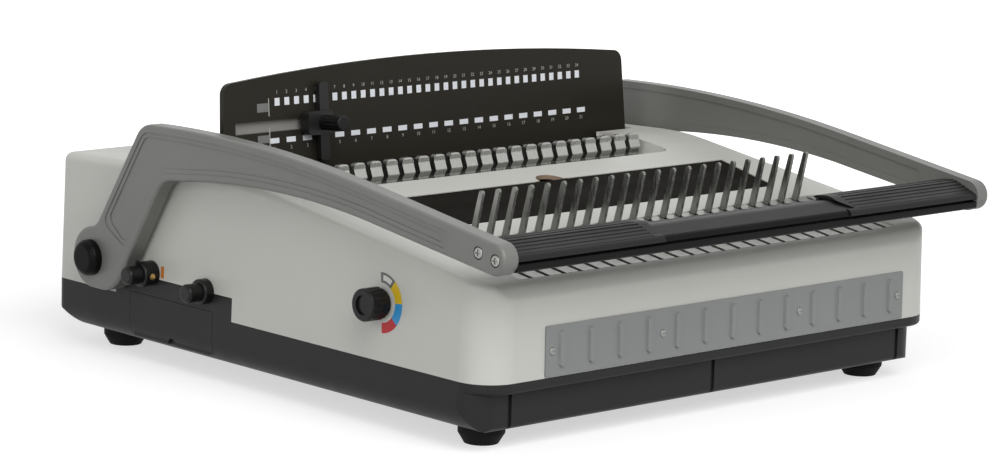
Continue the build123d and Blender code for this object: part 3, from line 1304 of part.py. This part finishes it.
# ================================================================ chip drawer
def make_chip_drawer():
    """Long tray for the punched chips with a flush front."""
    x0 = -SIDE_X
    z0 = BASE_Z + WALL + 1.2 + GAP
    y0 = DRAWER_FRONT_Y + 1.5
    y1 = DRAWER_REAR_Y - 1.5
    tray = block(x0 + 2, x0 + DRAWER_LEN, y0, y1, z0, z0 + DRAWER_H)
    tray = fillet(tray.edges().filter_by(Axis.X).sort_by(Axis.Z)[:2], 3)
    tray -= block(x0 + 2 + WALL, x0 + DRAWER_LEN - 2, y0 + 2, y1 - 2, z0 + 2, z0 + DRAWER_H + 1)
    front = block(x0 - 1, x0 + WALL + 2, DRAWER_FRONT_Y, DRAWER_REAR_Y, BASE_Z, DRAWER_TOP_Z)
    front &= plinth_form(0, BASE_Z) + wall_block(0, SEAM_Z, SHOULDER_Z)
    keel = block(x0 - 1, x0 + KEEL_R - GAP, DRAWER_FRONT_Y, DRAWER_REAR_Y, BASE_Z, z0 + 8)
    keel &= plinth_form(0, BASE_Z)
    keel -= plinth_form(WALL, z0 + 1)
    drawer = tray + front + keel
    # finger notch at the bottom edge
    mid = (DRAWER_FRONT_Y + DRAWER_REAR_Y) / 2
    drawer -= rod_x(mid, BASE_Z + 4, 5, x0 - 2, x0 + 4)
    return drawer


# ================================================================ build
def build_parts():
    """Every sub-part by name, in machine coordinates."""
    parts = {
        "base_tray": make_base_tray(),
        "rubber_feet": make_rubber_feet(),
        "case_screws": make_case_screws(),
        "top_cover": make_top_cover(),
        "front_trim_plate": make_front_trim_plate(),
        "storage_tub": make_storage_tub(),
        "storage_lid": make_storage_lid(),
        "comb_table": make_comb_table(),
        "comb_blades": make_comb_blades(),
        "comb_hooks": make_comb_hooks(),
        "comb_links": make_comb_links(),
        "side_frames": make_side_frames(),
        "shaft_bushings": make_shaft_bushings(),
        "pivot_shaft": make_pivot_shaft(),
        "crank_plates": make_crank_plates(),
        "arm_left": make_arm(-1),
        "arm_right": make_arm(1),
        "hub_caps": make_hub_caps(),
        "handle_bar": make_handle_bar(),
        "grips": make_grips(),
        "arm_screws": make_arm_screws(),
        "pin_guide": make_pin_guide(),
        "die_plate": make_die_plate(),
        "punch_bar": make_punch_bar(),
        "punch_pins": make_punch_pins(),
        "punch_links": make_punch_links(),
        "selector_rail": make_selector_rail(),
        "paper_chute": make_paper_chute(),
        "scale_plate": make_scale_plate(),
        "guide_rail": make_guide_rail(),
        "sheet_guide": make_sheet_guide(),
        "guide_knob": make_guide_knob(),
        "comb_size_knob": make_comb_size_knob(),
        "margin_knob": make_margin_knob(),
        "margin_screw": make_margin_screw(),
        "edge_knob": make_edge_knob(),
        "depth_stop": make_depth_stop(),
        "edge_stop": make_edge_stop(),
        "chip_drawer": make_chip_drawer(),
    }
    for index in range(HOLES):
        parts[f"pin_tab_{index + 1:02d}"] = make_pin_tab(index)
    return parts


os.makedirs("parts", exist_ok=True)
for name, shape in build_parts().items():
    export_step(Pos(0, -ORIGIN_Y, 0) * shape, f"parts/{name}.step")
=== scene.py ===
from math import cos, radians, sin, tan

import bmesh
import bpy
from mathutils import Matrix, Vector


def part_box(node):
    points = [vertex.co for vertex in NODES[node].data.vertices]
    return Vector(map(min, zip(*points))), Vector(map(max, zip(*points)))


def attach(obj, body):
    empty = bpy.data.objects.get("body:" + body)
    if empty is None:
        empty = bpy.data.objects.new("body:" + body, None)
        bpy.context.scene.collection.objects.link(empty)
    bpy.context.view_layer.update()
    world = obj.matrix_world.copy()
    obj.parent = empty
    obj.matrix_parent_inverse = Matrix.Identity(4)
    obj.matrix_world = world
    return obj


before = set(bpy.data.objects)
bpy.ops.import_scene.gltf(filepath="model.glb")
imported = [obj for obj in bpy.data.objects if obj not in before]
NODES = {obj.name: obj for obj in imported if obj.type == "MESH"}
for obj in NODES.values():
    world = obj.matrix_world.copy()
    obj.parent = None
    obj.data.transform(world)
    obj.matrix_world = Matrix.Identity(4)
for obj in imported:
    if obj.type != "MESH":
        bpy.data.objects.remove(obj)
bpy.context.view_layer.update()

TABS = sorted(name for name in NODES if name.startswith("pin_tab_"))
MM = 0.001

# ------------------------------------------------------------------ camera
YAW = radians(43.08)         # the camera looks from the front left
PITCH = radians(9.985)
ROLL = radians(1.782)
CAMERA_AT = (-1.70817, -1.81709, 0.52916)
FOCAL = 3.6994               # focal length in image widths
SENSOR = 36.0                # sensor width in mm
CLIP_END = 50                # metres


def make_camera():
    """Camera at the photograph's viewing angle."""
    ahead = Vector((sin(YAW) * cos(PITCH), cos(YAW) * cos(PITCH), -sin(PITCH)))
    right = Vector((cos(YAW), -sin(YAW), 0))
    up = right.cross(ahead)
    right, up = right * cos(ROLL) + up * sin(ROLL), up * cos(ROLL) - right * sin(ROLL)
    data = bpy.data.cameras.new("camera")
    data.sensor_width = SENSOR
    data.lens = SENSOR * FOCAL
    data.clip_end = CLIP_END
    camera = link("camera", data)
    turn = Matrix((right, up, -ahead)).transposed().to_4x4()
    camera.matrix_world = Matrix.Translation(CAMERA_AT) @ turn
    bpy.context.scene.camera = camera


# ------------------------------------------------------------------ helpers
NOISE_LOW = 0.3              # share of a noise texture's 0..1 that is in use
NOISE_HIGH = 0.7


def link(name, data):
    """New object in the scene."""
    obj = bpy.data.objects.new(name, data)
    bpy.context.scene.collection.objects.link(obj)
    return obj


def new_tree(name):
    """Empty material: (material, node tree, principled shader)."""
    material = bpy.data.materials.new(name)
    material.use_nodes = True
    tree = material.node_tree
    tree.nodes.clear()
    shader = tree.nodes.new("ShaderNodeBsdfPrincipled")
    output = tree.nodes.new("ShaderNodeOutputMaterial")
    tree.links.new(shader.outputs["BSDF"], output.inputs["Surface"])
    return material, tree, shader


def math_node(tree, operation, first, second):
    """Math node of a socket with another socket or a number."""
    node = tree.nodes.new("ShaderNodeMath")
    node.operation = operation
    tree.links.new(first, node.inputs[0])
    if isinstance(second, float):
        node.inputs[1].default_value = second
    else:
        tree.links.new(second, node.inputs[1])
    return node.outputs["Value"]


def object_coords(tree):
    """The object's own coordinates, which don't slide with the camera."""
    return tree.nodes.new("ShaderNodeTexCoord").outputs["Object"]


def noise(tree, scale, detail, stretch=(1, 1, 1)):
    """Noise over the object's own coordinates."""
    mapping = tree.nodes.new("ShaderNodeMapping")
    mapping.inputs["Scale"].default_value = stretch
    texture = tree.nodes.new("ShaderNodeTexNoise")
    texture.inputs["Scale"].default_value = scale
    texture.inputs["Detail"].default_value = detail
    tree.links.new(object_coords(tree), mapping.inputs["Vector"])
    tree.links.new(mapping.outputs["Vector"], texture.inputs["Vector"])
    return texture.outputs["Fac"]


def mottled(tree, source, colour, drift):
    """Colour that a noise makes a little darker and lighter."""
    node = tree.nodes.new("ShaderNodeValToRGB")
    ends = ((NOISE_LOW, 1 - drift), (NOISE_HIGH, 1 + drift))
    for stop, (place, factor) in zip(node.color_ramp.elements, ends):
        stop.position = place
        stop.color = (*shade(colour, factor), 1)
    tree.links.new(source, node.inputs["Fac"])
    return node.outputs["Color"]


def map_range(tree, source, start, stop, low, high):
    """Maps start..stop to low..high."""
    node = tree.nodes.new("ShaderNodeMapRange")
    node.inputs["From Min"].default_value = start
    node.inputs["From Max"].default_value = stop
    node.inputs["To Min"].default_value = low
    node.inputs["To Max"].default_value = high
    tree.links.new(source, node.inputs["Value"])
    return node.outputs["Result"]


def uneven(tree, source, value, drift):
    """Number that a noise makes a little smaller and larger."""
    return map_range(tree, source, NOISE_LOW, NOISE_HIGH, value * (1 - drift), value * (1 + drift))


def bump(tree, shader, source, strength, distance):
    """Bump from a height."""
    node = tree.nodes.new("ShaderNodeBump")
    node.inputs["Strength"].default_value = strength
    node.inputs["Distance"].default_value = distance
    tree.links.new(source, node.inputs["Height"])
    tree.links.new(node.outputs["Normal"], shader.inputs["Normal"])


def shade(colour, factor):
    """Colour made lighter or darker."""
    return tuple(min(1.0, c * factor) for c in colour)


# ------------------------------------------------------------------ materials
COVER = (0.53, 0.53, 0.495)
ARM = (0.152, 0.154, 0.143)
BASE = (0.01932, 0.01932, 0.01978)
BLACK = (0.0065, 0.0065, 0.0063)
PLATE = (0.019, 0.0168, 0.0122)
TRIM = (0.2028, 0.21008, 0.20904)
RAIL = (0.24, 0.23, 0.215)
STEEL = (0.50, 0.50, 0.48)
BRIGHT = (0.42, 0.42, 0.40)
BRASS = (0.72, 0.50, 0.20)
# painted reflection: tan painted on the finger notch's wall for the warm reflection seen there
NOTCH_REFLECTION_TAN = (0.30, 0.22, 0.155)
NOTCH_R = 15 * MM            # reach of the painted tan reflection round the finger notch
NOTCH_DROP = 2 * MM          # its middle lies below the top of the lid
NOTCH_TILT = 0.6             # faces that look up less than this are its wall

GRAIN = 1400                 # noise scale of moulded grain
GRAIN_DEPTH = 0.25           # bump strength
GRAIN_DETAIL = 2
GRAIN_HEIGHT = 0.05 * MM
MOTTLE = 0.05                # drift of tone
GLOSS = 0.5                  # specular level
TONE_SCALE, TONE_DETAIL = 9, 3
PATCH_SCALE, PATCH_DETAIL = 40, 5
PATCH_DRIFT = 0.12           # drift of roughness

LINE_SCALE, LINE_DETAIL = 30, 6
ACROSS = (1, 60, 60)         # lines drawn along X
UPRIGHT = (30, 30, 1)        # lines drawn along Z
LINE_DEPTH = 0.15
FINE_DEPTH = 0.06
LINE_HEIGHT = 0.04 * MM
LINE_TONE = 0.08
LINE_DRIFT = 0.25

# name: colour, roughness, grain, depth, mottle, gloss, nodes
MOULDED = {
    "cover_plastic": (COVER, 0.38, GRAIN, GRAIN_DEPTH, 0.02, GLOSS, ("top_cover",)),
    "base_plastic": (BASE, 0.42, 1100, 0.5, MOTTLE, 0.15, ("base_tray", "chip_drawer")),
    "arm_plastic": (ARM, 0.36, 1200, 0.3, MOTTLE, GLOSS, ("arm_left", "arm_right")),
    "handle_black": (shade(BLACK, 0.9), 0.28, 900, 0.15, MOTTLE, 0.08, ("handle_bar",)),
    "cap_black": (shade(BLACK, 0.7), 0.26, 900, 0.1, MOTTLE, 0.06, ("hub_caps",)),
    "grip_rubber": (shade(BLACK, 2.1), 0.42, 900, 0.3, MOTTLE, 0.15, ("grips",)),
    "foot_rubber": (shade(BLACK, 2), 0.7, 700, 0.5, MOTTLE, 0.1, ("rubber_feet",)),
    "trim_paint": (TRIM, 0.36, 300, 0.03, 0.03, GLOSS, ("front_trim_plate",)),
    "plate_black": (shade(PLATE, 1.03), 0.32, 300, 0.01, MOTTLE, 0.12, ("scale_plate",)),
    # paper chute: black plastic, and partly painted shade, as its black ledge stands for the shadow
    # band under the scale plate
    "chute_black": (shade(BLACK, 0.8), 0.5, GRAIN, GRAIN_DEPTH, MOTTLE, 0.2, ("paper_chute",)),
    "lid_black": (shade(PLATE, 0.3), 0.6, 900, 0.1, MOTTLE, 0.02,
                  ("storage_lid", "storage_tub")),
    "knob_black": (BLACK, 0.30, 900, 0.2, MOTTLE, 0.2,
                   ("guide_knob", "comb_size_knob", "margin_knob", "edge_knob")),
    "guide_black": (shade(BLACK, 1.8), 0.34, 900, 0.2, MOTTLE, 0.3, ("sheet_guide",)),
    "rail_grey": (RAIL, 0.4, GRAIN, GRAIN_DEPTH, MOTTLE, GLOSS, ("guide_rail",)),
}

# name: colour, roughness, direction of the lines, depth, nodes
METALS = {
    "plated_steel": (STEEL, 0.30, ACROSS, LINE_DEPTH,
                     ("comb_links", "side_frames", "pivot_shaft", "crank_plates", "pin_guide",
                      "die_plate", "punch_bar", "punch_links", "depth_stop", "edge_stop")),
    "table_steel": (shade(STEEL, 0.72), 0.38, ACROSS, LINE_DEPTH, ("comb_table",)),
    "rail_steel": (shade(STEEL, 0.6), 0.35, ACROSS, LINE_DEPTH, ("selector_rail",)),
    "screw_steel": (shade(STEEL, 0.6), 0.38, ACROSS, LINE_DEPTH, ("arm_screws",)),
    "dull_steel": (shade(STEEL, 0.55), 0.45, ACROSS, LINE_DEPTH, ("case_screws",)),
    "hook_steel": (shade(BRIGHT, 0.75), 0.22, UPRIGHT, FINE_DEPTH, ("comb_hooks", "punch_pins")),
    "blade_steel": (shade(BRIGHT, 0.6), 0.26, UPRIGHT, FINE_DEPTH, ("comb_blades",)),
    "tab_steel": (BRIGHT, 0.25, UPRIGHT, FINE_DEPTH, TABS),
    "brass_screw": (BRASS, 0.22, (1, 1, 1), LINE_DEPTH, ("margin_screw", "shaft_bushings")),
}


def moulded(name, colour, rough, grain, depth, mottle, gloss):
    """Moulded plastic, rubber or paint: fine grain, slow drift of tone, uneven gloss."""
    material, tree, shader = new_tree(name)
    shader.inputs["Specular IOR Level"].default_value = gloss
    slow = noise(tree, TONE_SCALE, TONE_DETAIL)
    tree.links.new(mottled(tree, slow, colour, mottle), shader.inputs["Base Color"])
    patch = noise(tree, PATCH_SCALE, PATCH_DETAIL)
    tree.links.new(uneven(tree, patch, rough, PATCH_DRIFT), shader.inputs["Roughness"])
    bump(tree, shader, noise(tree, grain, GRAIN_DETAIL), depth, GRAIN_HEIGHT)
    return material


def metal(name, colour, rough, stretch, depth):
    """Plated or brushed metal with fine drawn lines."""
    material, tree, shader = new_tree(name)
    shader.inputs["Metallic"].default_value = 1.0
    lines = noise(tree, LINE_SCALE, LINE_DETAIL, stretch)
    tree.links.new(mottled(tree, lines, colour, LINE_TONE), shader.inputs["Base Color"])
    tree.links.new(uneven(tree, lines, rough, LINE_DRIFT), shader.inputs["Roughness"])
    bump(tree, shader, lines, depth, LINE_HEIGHT)
    return material


def add_notch_painted_reflection(material):
    """Painted tan reflection on the wall of the finger notch behind the lid, in the cover's
    material.
    """
    tree = material.node_tree
    shader = tree.nodes["Principled BSDF"]
    middle = sum(corner.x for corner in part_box("front_trim_plate")) / 2
    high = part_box("storage_lid")[1]
    distance = tree.nodes.new("ShaderNodeVectorMath")
    distance.operation = "DISTANCE"
    distance.inputs[1].default_value = (middle, high.y, high.z - NOTCH_DROP)
    tree.links.new(object_coords(tree), distance.inputs[0])
    inside = math_node(tree, "LESS_THAN", distance.outputs["Value"], NOTCH_R)
    facing = tree.nodes.new("ShaderNodeSeparateXYZ")
    normal = tree.nodes.new("ShaderNodeNewGeometry")
    tree.links.new(normal.outputs["Normal"], facing.inputs["Vector"])
    wall = math_node(tree, "LESS_THAN", facing.outputs["Z"], NOTCH_TILT)
    mix = tree.nodes.new("ShaderNodeMix")
    mix.data_type = "RGBA"       # its colour sockets are inputs 6 and 7 and output 2
    factor, cover_tone, painted_reflection_tone = (mix.inputs[index] for index in (0, 6, 7))
    # painted reflection: the notch wall is coloured tan
    painted_reflection_tone.default_value = (*NOTCH_REFLECTION_TAN, 1)
    tone = shader.inputs["Base Color"].links[0].from_socket
    tree.links.new(math_node(tree, "MULTIPLY", inside, wall), factor)
    tree.links.new(tone, cover_tone)
    tree.links.new(mix.outputs[2], shader.inputs["Base Color"])


def dress_all():
    """Materials of the CAD nodes."""
    for make, table in ((moulded, MOULDED), (metal, METALS)):
        for name, (*look, nodes) in table.items():
            material = make(name, *look)
            for node in nodes:
                data = NODES[node].data
                data.materials.clear()
                data.materials.append(material)
    add_notch_painted_reflection(NODES["top_cover"].data.materials[0])


# ------------------------------------------------------------------ printed marks
LEAN = radians(5)            # the scale plate leans back
DRAFT = radians(1.2)         # draft of the cover walls
SEAM_Z = 44.7 * MM           # lower edge of the cover
PROUD = 0.12 * MM            # thickness of the print
PRINT_ROUGH, PRINT_GRAIN, PRINT_DEPTH, PRINT_MOTTLE = 0.45, 2500, 0.1, 0.04

FINE_PITCH = 25.4 / 3 * MM   # upper row of the scale
FINE_COUNT = 34
SQUARE_Z = 180.5 * MM
SQUARE_W, SQUARE_H = 4.3 * MM, 5.2 * MM
COMB_PITCH = 14.2875 * MM    # lower row, at the pitch of the comb
COMB_COUNT = 21
RECT_Z = 154.6 * MM
RECT_W, RECT_H = 8.0 * MM, 3.5 * MM
ABOVE, ABOVE_H = 6.4 * MM, 2.3 * MM      # numbers over the upper row
BELOW, BELOW_H = 5.2 * MM, 2.4 * MM      # numbers under the lower row
FONT_SIZE = 1.4              # font size over the height of a digit
KEY_X, LINE_X = -152.4 * MM, -147 * MM   # key blocks and guide line left of the rows

MARK_WHITE = (0.72, 0.74, 0.78)
NUMBER_GREY = (0.40, 0.40, 0.37)
KEY_GREY = (0.15, 0.15, 0.145)
LINE_GREY = (0.36, 0.36, 0.33)

RING_IN, RING_OUT = 12.7 * MM, 19.3 * MM
RING_RIM = 1.6 * MM          # frame of the white field
RING_STEPS = 10
FIELD_TOP, FIELD_LOW = 96, 52            # angles of the framed field, outer edges
FIELD_ENDS = (88, 59)                    # and of its white middle
RING_GREY = (0.10, 0.10, 0.095)
RING_WHITE = (0.62, 0.62, 0.60)
RING_COLOURS = (
    ("dial_yellow", 52, 6, (0.62, 0.42, 0.012)),
    ("dial_blue", 6, -40, (0.03, 0.26, 0.55)),
    ("dial_red", -40, -87, (0.42, 0.008, 0.012)),
)
MARK_ORANGE = (0.50, 0.16, 0.015)
MARK_HALF_W, MARK_HALF_H = 1.6 * MM, 4 * MM
MARK_AHEAD, MARK_UP = 2.6 * MM, 1.5 * MM     # from the edge and the middle of the knob


def printed(name, faces, colour):
    """Flat printed shapes, given as lists of corners, riding on the housing."""
    mesh = bpy.data.meshes.new(name)
    build = bmesh.new()
    for corners in faces:
        build.faces.new([build.verts.new(corner) for corner in corners])
    build.to_mesh(mesh)
    build.free()
    mesh.materials.append(
        moulded(name, colour, PRINT_ROUGH, PRINT_GRAIN, PRINT_DEPTH, PRINT_MOTTLE, GLOSS))
    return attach(link(name, mesh), "housing")


def plate_point(x, z):
    """Point on the front face of the leaning scale plate."""
    low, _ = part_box("scale_plate")
    return (x, low.y + (z - low.z) * tan(LEAN) - PROUD, z)


def plate_rect(x, z, width, height):
    """Upright rectangle on the scale plate."""
    return [plate_point(x + dx * width / 2, z + dz * height / 2)
            for dx, dz in ((-1, -1), (1, -1), (1, 1), (-1, 1))]


def digit_faces(text, x, z, height):
    """Faces of a printed number centred on the scale plate."""
    curve = bpy.data.curves.new("digits", "FONT")
    curve.body = text
    curve.size = height * FONT_SIZE
    curve.align_x = "CENTER"
    curve.align_y = "CENTER"
    curve.resolution_u = 2
    label = link("digits", curve)
    flat = bpy.data.meshes.new_from_object(label)
    points = [plate_point(x + vertex.co.x, z + vertex.co.y) for vertex in flat.vertices]
    faces = [[points[index] for index in face.vertices] for face in flat.polygons]
    bpy.data.objects.remove(label)
    bpy.data.curves.remove(curve)
    bpy.data.meshes.remove(flat)
    return faces


def make_scale_marks():
    """Rows of hole marks with their numbers, a guide line and two key blocks."""
    white, numbers = [], []
    for index in range(FINE_COUNT):
        x = (index - (FINE_COUNT - 1) / 2) * FINE_PITCH
        white.append(plate_rect(x, SQUARE_Z, SQUARE_W, SQUARE_H))
        numbers += digit_faces(str(index + 1), x, SQUARE_Z + ABOVE, ABOVE_H)
    for index in range(COMB_COUNT):
        x = (index - (COMB_COUNT - 1) / 2) * COMB_PITCH
        white.append(plate_rect(x, RECT_Z, RECT_W, RECT_H))
        numbers += digit_faces(str(index + 1), x, RECT_Z - BELOW, BELOW_H)
    printed("hole_marks", white, MARK_WHITE)
    printed("hole_numbers", numbers, NUMBER_GREY)
    keys = [plate_rect(KEY_X, 177.3 * MM, 9.4 * MM, 5.8 * MM),
            plate_rect(KEY_X, 156.2 * MM, 9.8 * MM, 5.2 * MM)]
    printed("key_blocks", keys, KEY_GREY)
    line = [plate_rect(LINE_X, 177.3 * MM, 0.8 * MM, 12 * MM),
            plate_rect(LINE_X, 156.5 * MM, 0.8 * MM, 14 * MM)]
    printed("guide_line", line, LINE_GREY)


def wall_point(y, z):
    """Point on the drafted left wall of the cover."""
    low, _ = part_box("top_cover")
    return (low.x + (z - SEAM_Z) * tan(DRAFT) - PROUD, y, z)


def arc_faces(centre, inner, outer, start, stop, steps=RING_STEPS):
    """Segment of a ring on the left wall, angles from the front, upwards."""
    rings = []
    for step in range(steps + 1):
        angle = radians(start + (stop - start) * step / steps)
        rings.append([wall_point(centre[0] - radius * cos(angle), centre[1] + radius * sin(angle))
                      for radius in (inner, outer)])
    return [[a[0], a[1], b[1], b[0]] for a, b in zip(rings, rings[1:])]


def make_wall_marks():
    """Colour ring of the comb size dial and the mark of the margin knob."""
    low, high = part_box("comb_size_knob")
    centre = ((low.y + high.y) / 2, (low.z + high.z) / 2)
    for name, start, stop, colour in RING_COLOURS:
        printed(name, arc_faces(centre, RING_IN, RING_OUT, start, stop), colour)
    inner, outer = RING_IN + RING_RIM, RING_OUT - RING_RIM
    first, last = FIELD_ENDS
    edge = arc_faces(centre, outer, RING_OUT, FIELD_TOP, FIELD_LOW)
    edge += arc_faces(centre, RING_IN, inner, FIELD_TOP, FIELD_LOW)
    edge += arc_faces(centre, inner, outer, FIELD_TOP, first, 3)
    edge += arc_faces(centre, inner, outer, last, FIELD_LOW, 3)
    printed("dial_grey", edge, RING_GREY)
    printed("dial_white", arc_faces(centre, inner, outer, first, last, 6), RING_WHITE)
    low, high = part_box("margin_knob")
    y, z = low.y - MARK_AHEAD, (low.z + high.z) / 2 + MARK_UP
    corners = [wall_point(y + dy * MARK_HALF_W, z + dz * MARK_HALF_H)
               for dy, dz in ((-1, -1), (1, -1), (1, 1), (-1, 1))]
    printed("margin_mark", [corners], MARK_ORANGE)


# ------------------------------------------------------------------ stage
FLOOR_HALF = 8.0             # metres
FLOOR_GREY = 0.5
FLOOR_ROUGH = 0.9
FLOOR_GLOW = 0.60            # what it shows near the object; 1 is white
NEAR_FLOOR = 0.35            # distances from the middle, in metres
FAR_FLOOR = 1.0
WORLD_LEVEL = 0.29           # light on the object; the camera sees white

# name, place, target, size in metres, watts
LIGHTS = (
    ("key", (-0.76, -2.1, 2.1), (0, 0, 0.1), 2.4, 77),      # from the front left
    ("softbox", (0.3, 0.6, 2.2), (0, 0, 0.1), 1.5, 2),      # weak, overhead
    ("fill", (-4.6, -1.2, 1.4), (0, 0, 0.08), 2.6, 46),     # broad, from the left
)


def seen_rays(tree):
    """1 for camera, glossy and transmission rays, 0 for the light on the object."""
    path = tree.nodes.new("ShaderNodeLightPath")
    seen = path.outputs["Is Camera Ray"]
    for name in ("Is Glossy Ray", "Is Transmission Ray"):
        seen = math_node(tree, "MAXIMUM", seen, path.outputs[name])
    return seen


def make_floor():
    """Pale floor that takes the shadow and shows white to the camera farther out."""
    material, tree, shader = new_tree("floor")
    shader.inputs["Base Color"].default_value = (FLOOR_GREY, FLOOR_GREY, FLOOR_GREY, 1)
    shader.inputs["Roughness"].default_value = FLOOR_ROUGH
    reach = tree.nodes.new("ShaderNodeVectorMath")
    reach.operation = "LENGTH"
    tree.links.new(object_coords(tree), reach.inputs[0])
    level = map_range(tree, reach.outputs["Value"], NEAR_FLOOR, FAR_FLOOR, FLOOR_GLOW, 1.0)
    shader.inputs["Emission Color"].default_value = (1, 1, 1, 1)
    glow = math_node(tree, "MULTIPLY", seen_rays(tree), level)
    tree.links.new(glow, shader.inputs["Emission Strength"])
    mesh = bpy.data.meshes.new("floor")
    corners = [(x * FLOOR_HALF, y * FLOOR_HALF, 0) for x, y in ((-1, -1), (1, -1), (1, 1), (-1, 1))]
    mesh.from_pydata(corners, [], [(0, 1, 2, 3)])
    mesh.materials.append(material)
    link("floor", mesh)


def make_world():
    """White to the camera and in reflections, plain grey light otherwise."""
    world = bpy.data.worlds.new("world")
    bpy.context.scene.world = world
    world.use_nodes = True
    tree = world.node_tree
    tree.nodes.clear()
    background = tree.nodes.new("ShaderNodeBackground")
    background.inputs["Color"].default_value = (1, 1, 1, 1)
    level = map_range(tree, seen_rays(tree), 0.0, 1.0, WORLD_LEVEL, 1.0)
    tree.links.new(level, background.inputs["Strength"])
    output = tree.nodes.new("ShaderNodeOutputWorld")
    tree.links.new(background.outputs["Background"], output.inputs["Surface"])


def make_lights():
    """Square soft lights, each aimed at a point."""
    for name, place, target, size, watts in LIGHTS:
        data = bpy.data.lights.new(name, "AREA")
        data.size = size
        data.energy = watts
        light = link(name, data)
        light.location = place
        light.rotation_mode = "QUATERNION"
        light.rotation_quaternion = (Vector(target) - Vector(place)).to_track_quat("-Z", "Y")


make_camera()
make_world()
make_floor()
make_lights()
dress_all()
make_scale_marks()
make_wall_marks()

bpy.context.scene.view_settings.view_transform = "Standard"
